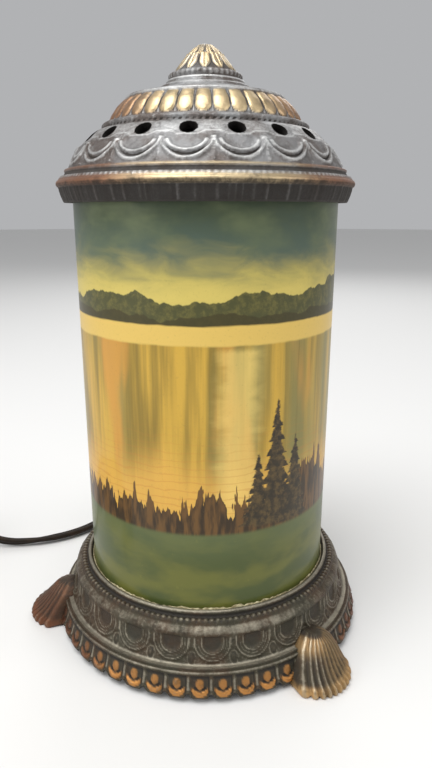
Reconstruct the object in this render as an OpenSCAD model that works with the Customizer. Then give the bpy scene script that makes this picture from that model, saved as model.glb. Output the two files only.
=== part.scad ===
// Rotating motion lamp: a cast footed base and a cast vented cap hold an upright
// glass cylinder. A bulb inside warms the air, the rising air turns a vaned drum
// on a needle, and the drum's pattern moves behind the picture on the glass.
// Millimetres. Z is up, the table is z = 0, the glass axis is x = y = 0, and the
// front is towards -Y. Angles round the lamp are counted from the front towards +X.

/* [Glass cylinder] */
// Outer diameter of the glass
glass_d = 103; // [100:0.5:106]
// Wall thickness of the glass
glass_wall = 3; // [2.5:0.1:3.5]
// Height of the glass tube
glass_h = 157.2; // [150:0.2:160]

/* [Base casting] */
// Height of the ledge that the glass gasket sits on
seat_z = 26; // [25.5:0.1:26.5]
// Feet round the base
foot_count = 3; // [3:1:3]
// Direction of the first foot, counted from the front
foot_az = 40; // [36:1:44]
// Distance of a foot's middle from the axis
foot_r = 67.9; // [67.5:0.1:68.5]
// Radius of a foot, seen from above
foot_round = 13.4; // [12.8:0.1:13.8]
// Tongues round the lower edge
tongue_count = 48; // [36:1:60]

/* [Cap casting] */
// Height of the cap, from its lower edge to its tip
cap_h = 56.3; // [55:0.1:58]
// Vent holes round the dome
vent_count = 18; // [12:1:20]
// Diameter of a vent hole
vent_d = 5.8; // [5:0.1:6]
// Direction of the first vent hole, counted from the front
vent_az = 14.2; // [0:0.1:20]

/* [Drum] */
// Outer diameter of the drum
drum_d = 84; // [80:0.5:86]
// Height of the drum's sleeve
drum_h = 130.5; // [126:0.5:132]
// Vanes of the fan
vane_count = 12; // [8:1:14]
// Tilt of the vanes
vane_tilt = 28; // [20:1:32]

/* [Bulb and socket] */
// Largest diameter of the bulb
bulb_d = 47.6; // [45:0.1:48]
// Length of the bulb over all
bulb_l = 89; // [86:0.5:90]
// Advance of the bulb's thread in one turn
bulb_pitch = 3.63; // [3.6:0.01:3.66]

/* [Cord] */
// Width of the flat two-core cord
cord_d = 5.2; // [5:0.1:5.3]
// Spacing of the coiled turns
coil_pitch = 5.65; // [5.65:0.05:5.8]
// Radius of the innermost turn
coil_inner = 20.9; // [20.8:0.1:21.2]

/* [Hidden] */
$fn = 96;
eps = 0.01;

glass_r = glass_d / 2;
glass_in = glass_r - glass_wall;
gasket_t = 0.8;
glass_z = seat_z + gasket_t;
glass_top = glass_z + glass_h;

// ---------- base casting ----------
// Outline of the base's metal: the ledge, the mouldings and the flared skirt
base_outline = [
    [glass_r - 5, seat_z], [glass_r + 0.8, seat_z], [glass_r + 0.8, seat_z + 3.4],
    [glass_r + 2.8, seat_z + 3.4], [glass_r + 3.2, seat_z + 2.1],
    [glass_r + 4.6, seat_z + 1.4], [glass_r + 5.8, seat_z + 0.2],
    [glass_r + 6.9, seat_z - 0.2], [glass_r + 7.9, seat_z - 1.3],
    [glass_r + 8.2, seat_z - 2.8], [glass_r + 7.9, seat_z - 3.8],
    [glass_r + 8.8, seat_z - 7.5], [glass_r + 9.9, seat_z - 10.5],
    [glass_r + 11.3, seat_z - 13.1], [glass_r + 13.4, seat_z - 15.6],
    [glass_r + 14.2, seat_z - 17.6], [glass_r + 15.2, seat_z - 20.6],
    [glass_r + 16.4, seat_z - 22.8], [glass_r + 15.8, seat_z - 23.8],
    [glass_r + 13.9, seat_z - 23.8]
];
// Outline of the hollow under the base, from its mouth up to the ledge's underside
hollow_outline = [
    [0, -1], [glass_r + 14, -1], [glass_r + 13.9, seat_z - 23.8],
    [glass_r + 12.9, seat_z - 20.5], [glass_r + 11.1, seat_z - 15.5],
    [glass_r + 9, seat_z - 12.6], [glass_r + 7.4, seat_z - 9.5],
    [glass_r + 6.1, seat_z - 5.5], [glass_r + 5.1, seat_z - 3], [0, seat_z - 3]
];
bead_z = seat_z + 3.4;
tongue_az = -1.4;
deck_z = seat_z - 3;
deck_t = 1.6;
deck_r = 48.2;
air_hole_count = 6;
air_hole_ring = 30;
air_hole_r = 7.5;
screw_r = 42.8;
screw_azs = [45, 165, 285];
exit_az = 185;
exit_z = 14.5;
collar_r = 61.25;

// Outline of a foot from the side, as far out as it reaches at each height
foot_side = [
    [glass_r + 8, 0], [79.4, 0], [80.1, 0.5], [80.3, 1.5], [79.5, 2.8], [77.5, 4.6],
    [75, 7.3], [72.5, 10.5], [69.7, 14], [67.6, 16.4], [65.4, 18.2], [62.6, 19.4],
    [glass_r + 8, 19.4]
];
// Half the width of a foot at each height
foot_half = [[12.2, 0], [13.3, 0.8], [13.5, 2.5], [12.6, 5.2], [10.8, 10], [8.8, 14.5],
             [6.4, 17.4], [2.8, 19.4]];

module ring_bead(r, z, half) {
    translate([r, z]) circle(r = half, $fn = 32);
}

module feet() {
    for (i = [0 : foot_count - 1])
        rotate([0, 0, foot_az + i * 360 / foot_count])
            intersection() {
                rotate_extrude() polygon(foot_side);
                translate([0, -100, 0]) rotate([-90, 0, 0])
                    linear_extrude(50)
                        polygon(concat([for (p = foot_half) [p[0], -p[1]]],
                            [for (k = [len(foot_half) - 1 : -1 : 0])
                                [-foot_half[k][0], -foot_half[k][1]]]));
                translate([0, -foot_r, 0]) cylinder(r = foot_round, h = 30);
            }
}

module base_casting() {
    color([0.29, 0.25, 0.22])
    difference() {
        union() {
            difference() {
                union() {
                    rotate_extrude() {
                        polygon(concat(base_outline,
                            [for (k = [2 : len(hollow_outline) - 2]) hollow_outline[k]],
                            [[glass_r - 5, deck_z]]));
                        ring_bead(glass_r + 1.8, bead_z, 1);
                        ring_bead(glass_r + 4.6, seat_z + 1, 1.25);
                        ring_bead(glass_r + 12, seat_z - 13.8, 0.9);
                        ring_bead(glass_r + 13.1, seat_z - 15, 0.9);
                    }
                    feet();
                }
                rotate_extrude() polygon(hollow_outline);
                // gaps between the tongues of the lower edge
                for (i = [0 : tongue_count - 1])
                    rotate([0, 0, tongue_az + (i + 0.5) * 360 / tongue_count])
                        tongue_gap(i);
            }
            // ears that the deck's screws go up into
            for (az = screw_azs)
                rotate([0, 0, az]) translate([0, -screw_r, deck_z])
                    cylinder(r = 4.6, h = 3.5);
        }
        for (az = screw_azs)
            rotate([0, 0, az]) translate([0, -screw_r, deck_z - 1])
                cylinder(r = 1.95, h = 6);
        // hole for the cord's bushing, and the flat round it
        rotate([0, 0, exit_az]) translate([0, 0, exit_z]) rotate([90, 0, 0]) {
            cylinder(r = 4.6, h = 90);
            translate([0, 0, collar_r]) cylinder(r = 6.5, h = 30);
        }
    }
}

// A notch in the lower edge, left out where a foot stands
module tongue_gap(i) {
    az = tongue_az + (i + 0.5) * 360 / tongue_count;
    off = abs(((az - foot_az + 360 * 3 + 60) % (360 / foot_count)) - 60);
    if (off > 11)
        translate([0, -60, seat_z - 24.2]) rotate([90, 0, 0])
            cylinder(r = 1.5, h = 12, $fn = 24);
}

module deck_plate() {
    color([0.60, 0.60, 0.58])
    translate([0, 0, deck_z - deck_t])
    difference() {
        cylinder(r = deck_r, h = deck_t);
        translate([0, 0, -1]) cylinder(r = 5.1, h = 4);
        for (i = [0 : air_hole_count - 1])
            rotate([0, 0, i * 360 / air_hole_count]) translate([0, -air_hole_ring, -1])
                cylinder(r = air_hole_r, h = 4);
        for (az = screw_azs)
            rotate([0, 0, az]) translate([0, -screw_r, -1]) cylinder(r = 2.1, h = 4);
        for (s = [-1, 1])
            translate([s * yoke_x, 0, -1]) cylinder(r = 1.3, h = 4);
    }
}

module deck_screws() {
    color([0.72, 0.71, 0.68])
    for (az = screw_azs)
        rotate([0, 0, az]) translate([0, -screw_r, deck_z - deck_t]) {
            cylinder(r = 1.9, h = 5);
            difference() {
                translate([0, 0, -2.1]) cylinder(r1 = 2.9, r2 = 3.6, h = 2.1);
                translate([-4, -0.5, -2.6]) cube([8, 1, 1.3]);
            }
        }
}

// ---------- socket ----------
nipple_bottom = 13;
nipple_top = deck_z + 5;
socket_z = deck_z + 1.2;

module tube(r_out, r_in, h) {
    difference() {
        cylinder(r = r_out, h = h);
        translate([0, 0, -1]) cylinder(r = r_in, h = h + 2);
    }
}

module nipple() {
    color([0.75, 0.66, 0.42])
    translate([0, 0, nipple_bottom])
    difference() {
        union() {
            cylinder(r = 4.7, h = nipple_top - nipple_bottom);
            for (z = [0.6 : 1 : nipple_top - nipple_bottom - 1])
                translate([0, 0, z]) cylinder(r1 = 4.7, r2 = 5, h = 0.35);
            for (z = [0.95 : 1 : nipple_top - nipple_bottom - 1])
                translate([0, 0, z]) cylinder(r1 = 5, r2 = 4.7, h = 0.35);
        }
        translate([0, 0, -1]) cylinder(r = 3.4, h = 30);
    }
}

module lock_nut() {
    color([0.70, 0.69, 0.66])
    translate([0, 0, deck_z - deck_t - 4])
    difference() {
        cylinder(r = 8.6, h = 4, $fn = 6);
        translate([0, 0, -1]) cylinder(r = 5.05, h = 6);
    }
}

module lock_washer() {
    color([0.66, 0.66, 0.64])
    translate([0, 0, deck_z]) tube(9, 5.1, 1.2);
}

// Cup below the socket's shell, screwed on the nipple
module socket_cap() {
    color([0.78, 0.62, 0.30])
    rotate_extrude()
        polygon([
            [5.06, socket_z], [7.6, socket_z], [7.6, socket_z + 2.6],
            [11.5, socket_z + 4.6], [15, socket_z + 8], [17.2, socket_z + 12.6],
            [17.2, socket_z + 18], [16.4, socket_z + 18], [16.4, socket_z + 13],
            [14.3, socket_z + 8.8], [11, socket_z + 5.6], [7.2, socket_z + 3.6],
            [5.06, socket_z + 3.6]
        ]);
}

module socket_shell() {
    color([0.80, 0.64, 0.32])
    rotate_extrude() {
        polygon([
            [15.75, socket_z + 14], [16.35, socket_z + 14], [16.35, socket_z + 51.6],
            [15.75, socket_z + 51.6]
        ]);
        ring_bead(16.35, socket_z + 51.6, 0.6);
    }
}

module socket_liner() {
    color([0.12, 0.11, 0.10])
    translate([0, 0, socket_z + 15]) tube(15.65, 15, 38.5);
}

body_z = socket_z + 16;
body_top = body_z + 12;

module socket_body() {
    color([0.16, 0.13, 0.12])
    difference() {
        translate([0, 0, body_z]) cylinder(r = 14.9, h = 12);
        translate([0, 0, body_z - 1]) cylinder(r = 5, h = 8);
        for (s = [-1, 1])
            translate([s * 9.5, 0, body_z - 1]) cylinder(r = 1.6, h = 7);
    }
}

module socket_screw_shell() {
    color([0.82, 0.68, 0.38])
    translate([0, 0, body_top]) {
        tube(13.8, 13.4, 24);
        difference() {
            cylinder(r = 13.8, h = 0.5);
            translate([0, 0, -1]) cylinder(r = 8, h = 3);
        }
    }
}

tip_z = body_top + 2.3;

// Springy brass tongue that the bulb's tip rests on
module socket_contact() {
    color([0.84, 0.70, 0.40])
    translate([0, 0, body_top]) {
        translate([-2, -6.5, 0]) cube([4, 4, 0.5]);
        translate([-2, -3, 1.6]) cube([4, 6.5, 0.5]);
        translate([-2, -3, 0]) cube([4, 0.5, 2.1]);
    }
}

module terminal_screws() {
    color([0.80, 0.70, 0.45])
    for (s = [-1, 1])
        translate([s * 9.5, 0, body_z]) {
            cylinder(r = 1.5, h = 5.5);
            difference() {
                translate([0, 0, -1.9]) cylinder(r = 3, h = 1.9);
                translate([-4, -0.4, -2.4]) cube([8, 0.8, 1.2]);
            }
        }
}

// ---------- bulb ----------
thread_z = tip_z + 6.8;
thread_h = 5 * bulb_pitch;
bulb_top = tip_z + bulb_l;
bulb_r = bulb_d / 2;
bulb_mid = bulb_top - bulb_r;
neck_z = thread_z + thread_h + 1.6;

module bulb_tip() {
    color([0.78, 0.78, 0.76])
    translate([0, 0, tip_z]) {
        cylinder(r1 = 3.4, r2 = 4.6, h = 0.7);
        translate([0, 0, 0.7]) cylinder(r = 4.6, h = 0.9);
    }
}

module bulb_insulator() {
    color([0.08, 0.08, 0.09])
    translate([0, 0, tip_z + 1.6]) {
        cylinder(r1 = 5.6, r2 = 10.5, h = 4);
        translate([0, 0, 4]) cylinder(r = 10.5, h = 1.2);
    }
}

// Half round threads, drawn as rings a pitch apart
module bulb_screw_shell() {
    color([0.80, 0.78, 0.70])
    rotate_extrude()
        difference() {
            union() {
                translate([11.2, thread_z]) square([1.1, thread_h + 1.4]);
                for (i = [0 : 4])
                    translate([12.0, thread_z + (i + 0.5) * bulb_pitch])
                        circle(r = 1.05, $fn = 32);
            }
            translate([0, thread_z - 2]) square([11.2, thread_h + 6]);
        }
}

// Outline of the glass envelope: the neck flares into a round end
function bulb_out(r) = concat(
    [[11, neck_z - 0.2], [12.2, neck_z - 0.2], [13.6, neck_z + 8], [17.4, bulb_mid - 15.6]],
    [for (a = [-38 : 8 : 90]) [max(0, r * cos(a)), bulb_mid + r * sin(a)]]);

module bulb_glass() {
    color([0.95, 0.93, 0.88, 0.6])
    difference() {
        rotate_extrude()
            polygon(concat(bulb_out(bulb_r), [[0, bulb_top], [0, neck_z - 0.2]]));
        rotate_extrude()
            polygon([
                [0, neck_z - 2], [10.2, neck_z - 2], [11.5, neck_z], [12.8, neck_z + 8],
                [16.6, bulb_mid - 15.6], [18.2, bulb_mid - 14], [21.4, bulb_mid - 8.4],
                [22.9, bulb_mid], [21.6, bulb_mid + 7.8], [18.2, bulb_mid + 14],
                [12.8, bulb_mid + 19.1], [6.5, bulb_mid + 22.1], [0, bulb_mid + 23]
            ]);
    }
}

stem_top = bulb_mid - 16;

module bulb_stem() {
    color([0.85, 0.88, 0.88])
    rotate_extrude()
        polygon([
            [0, neck_z + 1], [9.6, neck_z + 1], [8.6, neck_z + 2], [3.6, neck_z + 6],
            [2.6, neck_z + 10], [2.2, stem_top - 2], [3, stem_top], [0, stem_top + 1]
        ]);
}

// Two lead wires and the tungsten between them, bent as a flat V
module bulb_filament() {
    color([0.45, 0.43, 0.42])
    for (s = [-1, 1]) {
        translate([s * 2.3, 0, stem_top - 1]) rotate([0, s * 30, 0])
            cylinder(r = 0.3, h = 17);
        translate([s * 10.7, 0, stem_top + 13.6]) sphere(r = 0.6, $fn = 24);
        translate([0, 0, stem_top + 10.6])
            rotate([0, s * 74.3, 0]) cylinder(r = 0.35, h = 11.1);
    }
}

// ---------- needle and drum ----------
yoke_x = 31;
yoke_wire = 1.2;
yoke_bend = 18;
crown_z = bulb_top + 15.9;
holder_top = crown_z + 6.6;
needle_top = crown_z + 17.2;
fan_z = crown_z + 11;

module pivot_yoke() {
    color([0.62, 0.62, 0.60]) {
        for (s = [0, 180])
            rotate([0, 0, s]) {
                translate([yoke_x, 0, deck_z - 6.6])
                    cylinder(r = yoke_wire, h = crown_z - yoke_bend - deck_z + 6.6);
                translate([yoke_x - yoke_bend, 0, crown_z - yoke_bend])
                    rotate([90, 0, 0])
                        rotate_extrude(angle = 90)
                            translate([yoke_bend, 0]) circle(r = yoke_wire, $fn = 32);
            }
        translate([-(yoke_x - yoke_bend), 0, crown_z]) rotate([0, 90, 0])
            cylinder(r = yoke_wire, h = 2 * (yoke_x - yoke_bend));
    }
}

module yoke_nuts() {
    color([0.74, 0.73, 0.70])
    for (s = [-1, 1], z = [deck_z - deck_t - 2.4, deck_z])
        translate([s * yoke_x, 0, z])
            difference() {
                cylinder(r = 3.2, h = 2.4, $fn = 6);
                translate([0, 0, -1]) cylinder(r = yoke_wire + 0.02, h = 5);
            }
}

module needle_holder() {
    color([0.80, 0.66, 0.36])
    difference() {
        translate([0, 0, crown_z - 2.1]) cylinder(r = 3, h = holder_top - crown_z + 2.1);
        translate([-5, 0, crown_z]) rotate([0, 90, 0])
            cylinder(r = yoke_wire + 0.02, h = 10);
        translate([0, 0, crown_z + 2]) cylinder(r = 1.02, h = 10);
    }
}

module pivot_needle() {
    color([0.82, 0.82, 0.84]) {
        translate([0, 0, crown_z + 2.2]) cylinder(r = 1, h = needle_top - crown_z - 4.7);
        translate([0, 0, needle_top - 2.5]) cylinder(r1 = 1, r2 = 0.05, h = 2.5);
    }
}

// Upside-down cup in the fan's hub, which hangs on the needle's point
module pivot_thimble() {
    color([0.83, 0.70, 0.38])
    difference() {
        union() {
            translate([0, 0, holder_top + 1.2]) cylinder(r = 2.4, h = needle_top - holder_top + 0.8);
            translate([0, 0, fan_z + 0.6]) cylinder(r = 4.4, h = 0.9);
        }
        translate([0, 0, holder_top]) cylinder(r = 1.06, h = needle_top - 2.4 - holder_top);
        translate([0, 0, needle_top - 2.4 - eps])
            cylinder(r1 = 1.06, r2 = 0.1, h = 2.45);
    }
}

drum_r = drum_d / 2;
sleeve_z = seat_z + 18.5;
rim_in = drum_r - 1.15;
rim_out = drum_r - 0.55;

module drum_fan() {
    color([0.80, 0.80, 0.78])
    translate([0, 0, fan_z]) {
        difference() {
            cylinder(r = 9, h = 0.6);
            translate([0, 0, -1]) cylinder(r = 2.42, h = 3);
        }
        intersection() {
            for (i = [0 : vane_count - 1])
                rotate([0, 0, i * 360 / vane_count])
                    rotate([vane_tilt, 0, 0])
                        linear_extrude(0.6)
                            polygon([[8, -1.6], [rim_out, -7.4], [rim_out, 7.4], [8, 1.6]]);
            translate([0, 0, -10]) cylinder(r = rim_in, h = 20);
        }
    }
}

// Band that the vanes' tips are crimped to, and the sleeve's upper edge is glued to
module drum_rim() {
    color([0.80, 0.80, 0.78])
    translate([0, 0, fan_z - 4]) tube(rim_out, rim_in, 8);
}

module drum_sleeve() {
    color([0.92, 0.80, 0.48, 0.9])
    translate([0, 0, sleeve_z]) tube(drum_r, drum_r - 0.5, drum_h);
}

module drum_hoop() {
    color([0.80, 0.80, 0.78])
    translate([0, 0, sleeve_z + 0.5]) tube(rim_out, rim_in, 5);
}

// ---------- glass and cap ----------
module glass_gasket() {
    color([0.55, 0.45, 0.32])
    translate([0, 0, seat_z]) tube(glass_r + 0.6, glass_in - 0.7, gasket_t);
}

module glass_cylinder() {
    color([0.55, 0.58, 0.35])
    translate([0, 0, glass_z]) tube(glass_r, glass_in, glass_h);
}

cap_z = glass_top - 5;
// Outline of the cap's metal, from its lower edge up to the bud and down the inside
cap_outline = [
    [glass_r + 0.8, cap_z], [glass_r + 3.3, cap_z], [glass_r + 5.3, cap_z + 4.4],
    [glass_r + 5.7, cap_z + 5.6], [glass_r + 5.5, cap_z + 6.9], [glass_r + 4.7, cap_z + 8.6],
    [glass_r + 3.4, cap_z + 9.9], [glass_r + 2.4, cap_z + 10.2],
    [glass_r + 1.7, cap_z + 11.4], [glass_r + 0.2, cap_z + 13.6], [glass_r - 1.1, cap_z + 16],
    [glass_r - 2.4, cap_z + 18.2], [glass_r - 4.1, cap_z + 20.2], [glass_r - 6, cap_z + 22.1],
    [glass_r - 7.8, cap_z + 23.8], [glass_r - 9.5, cap_z + 25], [glass_r - 11.9, cap_z + 26],
    [glass_r - 14.6, cap_z + 27.2], [glass_r - 15.2, cap_z + 28.4],
    [glass_r - 16.2, cap_z + 30.8], [glass_r - 18.2, cap_z + 33.7],
    [glass_r - 21, cap_z + 36.1], [glass_r - 22.4, cap_z + 37.2],
    [glass_r - 24.4, cap_z + 38.2], [17.8, cap_z + 39.8], [16.4, cap_z + 41.4],
    [14.6, cap_z + 42.6], [13.8, cap_z + 43.8], [11.4, cap_z + 45.6], [10.6, cap_z + 47.4],
    [8.6, cap_z + 50.6], [5.6, cap_z + 53.8], [2.4, cap_z + cap_h - 0.6],
    [0, cap_z + cap_h],
    [0, cap_z + cap_h - 6], [4.6, cap_z + 48], [8, cap_z + 43.6], [11.5, cap_z + 40],
    [15, cap_z + 37.4], [26.6, cap_z + 35], [31.2, cap_z + 31.4], [33.8, cap_z + 26],
    [38.4, cap_z + 23.9], [42.4, cap_z + 20.9], [46, cap_z + 17], [48, cap_z + 12.8],
    [48.8, cap_z + 10], [48.8, cap_z + 5], [glass_r + 0.8, cap_z + 5]
];
vent_r = 44.6;
vent_z = cap_z + 22.95;

module cap_casting() {
    color([0.47, 0.40, 0.34])
    difference() {
        rotate_extrude() {
            polygon(cap_outline);
            ring_bead(glass_r + 4.4, cap_z + 6.6, 1.4);
            ring_bead(glass_r - 13.3, cap_z + 26.9, 1.15);
            ring_bead(13, cap_z + 44.5, 1);
            ring_bead(glass_r - 21.8, cap_z + 37, 0.7);
        }
        for (i = [0 : vent_count - 1])
            rotate([0, 0, vent_az + i * 360 / vent_count])
                translate([0, -vent_r, vent_z]) rotate([45, 0, 0])
                    translate([0, 0, -9]) cylinder(d = vent_d, h = 20);
    }
}

// ---------- cord ----------
bushing_tip = 85;
flange_r = 55.6;
lay_z = cord_d / 2 + 0.05;

module cord_bushing() {
    color([0.14, 0.10, 0.08])
    rotate([0, 0, exit_az]) translate([0, 0, exit_z]) rotate([90, 0, 0]) {
        translate([0, 0, flange_r]) cylinder(r = 5.8, h = 1.2);
        translate([0, 0, flange_r + 1.2]) cylinder(r = 4.55, h = collar_r - flange_r - 1.2);
        translate([0, 0, collar_r]) cylinder(r = 6.3, h = 1.8);
        translate([0, 0, collar_r + 1.8])
            cylinder(r1 = 4.8, r2 = 3.3, h = bushing_tip - collar_r - 1.8);
    }
}

// Sides of a cord's tube, swept along points with its rings square to the path
function unit(v) = v / norm(v);
function tangent(p, i) =
    unit(i == 0 ? p[1] - p[0] : i == len(p) - 1 ? p[i] - p[i - 1] : p[i + 1] - p[i - 1]);
function ring(p, i, r, sides) =
    let (t = tangent(p, i), u = unit(cross([0, 0, 1], t)), v = cross(t, u))
    [for (k = [0 : sides - 1])
        p[i] + r * (cos((k + 0.5) * 360 / sides) * u + sin((k + 0.5) * 360 / sides) * v)];
module sweep(p, r, sides) {
    n = len(p);
    polyhedron(
        points = [for (i = [0 : n - 1]) each ring(p, i, r, sides)],
        faces = concat(
            [[for (k = [sides - 1 : -1 : 0]) k]],
            [for (i = [0 : n - 2], k = [0 : sides - 1])
                let (a = i * sides + k, b = i * sides + (k + 1) % sides)
                each [[a, b, b + sides], [a, b + sides, a + sides]]],
            [[for (k = [0 : sides - 1]) (n - 1) * sides + k]]));
}

// Where the cord lies from the bushing's tip to the switch
run_points = [
    [-7.41, 84.7, 14.5], [-7.9, 90.3, 14.4], [-10, 97.5, 12.6], [-15, 104.5, 9.6],
    [-22.5, 109, 6.6], [-31, 110, 4.2], [-39.5, 107.5, 3], [-46.5, 102, 2.65],
    [-51.5, 94.5, 2.65], [-55, 85, 2.65], [-58.5, 75, 2.65], [-63.5, 65.5, 2.65],
    [-71, 56.5, 2.65], [-80.5, 49.5, 2.65], [-91.5, 44.8, 2.65], [-103, 42.3, 2.7],
    [-108, 41.7, 3.1], [-113.2, 41.3, 4.2], [-118.4, 41.1, 6], [-123.5, 41, 7.15],
    [-128.7, 41, 7.5], [-133.95, 41, 7.5]
];
// From the switch to the coil
lead_points = [
    [-192.05, 41, 7.5], [-197.6, 41, 7.4], [-205.4, 39.4, 6.6], [-212.2, 34.8, 5.2],
    [-216.8, 28, 4.1], [-218.4, 20, 3.5], [-217.6, 12, 3.4], [-215.7, 4, 3.4],
    [-214, -4, 3.4]
];
coil_at = [-172, -16];
coil_start = 180;
coil_end = 270;
coil_full = 7;
coil_turns = coil_full + (coil_end - coil_start) / 360;
coil_in_straight = 5.6;
coil_out_straight = 23;
coil_low = 3.4;
coil_high = coil_low + coil_pitch;
coil_outer = coil_inner + coil_pitch * coil_turns / 2;
tie_t = 0.6;

// Height of the coil at turn t: the climb is the half turn where the spiral reverses
function coil_rise(t) =
    let (s = min(1, max(0, (t - coil_turns / 2 + 0.25) / 0.5)))
    coil_low + coil_pitch * (3 * s * s - 2 * s * s * s);
function coil_radius(t) = coil_inner + coil_pitch * abs(t - coil_turns / 2);
function coil_point(t) =
    let (a = coil_start + 360 * t, r = coil_radius(t))
    [coil_at[0] + r * cos(a), coil_at[1] + r * sin(a), coil_rise(t)];
coil_steps = ceil(24 * coil_turns);
coil_body = [for (i = [0 : coil_steps]) coil_point(i * coil_turns / coil_steps)];
coil_first = coil_body[0] - coil_in_straight * unit([-sin(coil_start), cos(coil_start), 0]);
coil_last = coil_body[coil_steps]
    + coil_out_straight * unit([-sin(coil_end), cos(coil_end), 0]);
coil_points = concat([coil_first], coil_body, [coil_last]);

// Least gap between turns, measured on points at least half a turn apart
coil_gap = min([for (i = [0 : 2 : coil_steps], j = [i + 13 : coil_steps])
    norm(coil_body[i] - coil_body[j])]) - cord_d;
echo(coil_gap = coil_gap, coil_across_middle = 2 * (coil_inner + coil_outer) / 2);
function path_length(p) =
    len(p) < 2 ? 0 : [for (i = 0, s = 0; i < len(p); s = s + (i < len(p) - 1 ?
        norm(p[i + 1] - p[i]) : 0), i = i + 1) s][len(p) - 1];
echo(run = path_length(run_points), lead = path_length(lead_points),
    coil = path_length(coil_points));

module cord_inside() {
    color([0.20, 0.13, 0.09])
    rotate([0, 0, exit_az]) translate([0, -flange_r, exit_z]) rotate([-90, 0, 0])
        cylinder(r = cord_d / 2, h = 15);
}

module cord_run() {
    color([0.20, 0.13, 0.09]) sweep(run_points, cord_d / 2, 8);
}

module cord_lead() {
    color([0.20, 0.13, 0.09])
    sweep(concat(lead_points, [coil_first]), cord_d / 2, 8);
}

module cord_coil() {
    color([0.20, 0.13, 0.09]) sweep(coil_points, cord_d / 2, 6);
}

// Strap round one side of the coil
module cord_tie() {
    tie_in = coil_inner - cord_d / 2 - 0.8;
    tie_out = coil_outer + cord_d / 2 + 0.8;
    tie_top = coil_high + cord_d / 2 + 0.5;
    color([0.10, 0.10, 0.11])
    translate([coil_at[0], coil_at[1], 0]) rotate([0, 0, 35])
        difference() {
            translate([tie_in - tie_t, -3, 0.05])
                cube([tie_out - tie_in + 2 * tie_t, 6, tie_top + tie_t - 0.05]);
            translate([tie_in, -4, 0.05 + tie_t])
                cube([tie_out - tie_in, 8, tie_top - tie_t - 0.05]);
        }
}

// Two insulated wires from the end of the cord up through the nipple
module socket_leads() {
    color([0.30, 0.22, 0.15])
    for (s = [-1, 1])
        sweep([
            [s * 1.4 - 3.5, 40.2, exit_z], [s * 1.5 - 3.1, 35, 14.2], [s * 1.5 - 2.6, 26, 11.6],
            [s * 1.5 - 1.6, 18, 9], [s * 1.5 - 0.6, 10.5, 7.2], [s * 1.5, 5, 7],
            [s * 1.5, 1.4, 8.8], [s * 1.5, 0.2, 12], [s * 1.5, 0, 17], [s * 1.5, 0, 24],
            [s * 1.7, 0, 30], [s * 2.6, 0.3, 33], [s * 5, 0.6, 35.2], [s * 7.6, 0.3, 36],
            [s * 9.4, 0, 36.5]
        ], 1.1, 8);
}

// ---------- switch on the cord ----------
switch_at = [-163, 41];
switch_l = 58;
switch_w = 24;
switch_h = 15;
wheel_y = 6.5;
wheel_r = 8.5;

module switch_outline() {
    translate([-switch_l / 2 + 8, -switch_w / 2]) square([switch_l - 16, switch_w]);
    for (s = [-1, 1])
        translate([s * (switch_l / 2 - 12), 0]) circle(r = 12);
}

module switch_half(low, high) {
    difference() {
        translate([0, 0, low]) linear_extrude(high - low) switch_outline();
        translate([0, wheel_y, 5.3]) cylinder(r = wheel_r + 0.5, h = 4.4);
        translate([18, 0, low - 1]) cylinder(r = 1.55, h = high - low + 2);
    }
}

module switch_base() {
    color([0.17, 0.10, 0.07])
    translate([switch_at[0], switch_at[1], 0]) {
        switch_half(0.05, switch_h / 2);
        translate([0, wheel_y, 5.2]) cylinder(r = 1.5, h = 4.5);
    }
}

module switch_cover() {
    color([0.19, 0.11, 0.08])
    translate([switch_at[0], switch_at[1], 0])
        difference() {
            switch_half(switch_h / 2, switch_h);
            translate([18, 0, switch_h - 1.6]) cylinder(r = 3.1, h = 3);
        }
}

// Ribbed wheel that turns the lamp on and off
module switch_wheel() {
    color([0.10, 0.07, 0.06])
    translate([switch_at[0], switch_at[1] + wheel_y, 5.6])
        difference() {
            cylinder(r = wheel_r, h = 3.8);
            translate([0, 0, -1]) cylinder(r = 1.55, h = 6);
            for (i = [0 : 19])
                rotate([0, 0, i * 18]) translate([wheel_r + 0.3, 0, -1])
                    cylinder(r = 0.8, h = 6, $fn = 16);
        }
}

module switch_screw() {
    color([0.72, 0.68, 0.55])
    translate([switch_at[0] + 18, switch_at[1], 0]) {
        translate([0, 0, 1.2]) cylinder(r = 1.5, h = switch_h - 2.8);
        difference() {
            translate([0, 0, switch_h - 1.6]) cylinder(r = 3, h = 1.5);
            translate([-4, -0.4, switch_h - 0.9]) cube([8, 0.8, 2]);
        }
    }
}

// ---------- plug ----------
plug_l = 30;
plug_w = 26;
plug_x = coil_last[0];
plug_y = coil_last[1];
blade_gap = 12.7;

module plug_body() {
    color([0.18, 0.11, 0.08])
    translate([plug_x, plug_y, coil_high])
        difference() {
            translate([0, 0, -coil_high + 0.05])
                linear_extrude(2 * coil_high - 0.1)
                    polygon([
                        [0, -4.4], [5, -5.2], [9, -9], [13, plug_w / -2 + 1],
                        [16, plug_w / -2], [28, plug_w / -2], [plug_l, plug_w / -2 + 2],
                        [plug_l, plug_w / 2 - 2], [28, plug_w / 2], [16, plug_w / 2],
                        [13, plug_w / 2 - 1], [9, 9], [5, 5.2], [0, 4.4]
                    ]);
            for (s = [-1, 1])
                translate([plug_l - 6, s * blade_gap / 2 - 0.8, -3.25])
                    cube([7, 1.6, 6.5]);
        }
}

module plug_blades() {
    color([0.80, 0.72, 0.45])
    for (s = [-1, 1])
        translate([plug_x + plug_l - 6, plug_y + s * blade_gap / 2 - 0.75, coil_high - 3.18])
            difference() {
                cube([22, 1.5, 6.36]);
                translate([18.5, -1, 3.18]) rotate([-90, 0, 0]) cylinder(r = 1.6, h = 4);
            }
}

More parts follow.
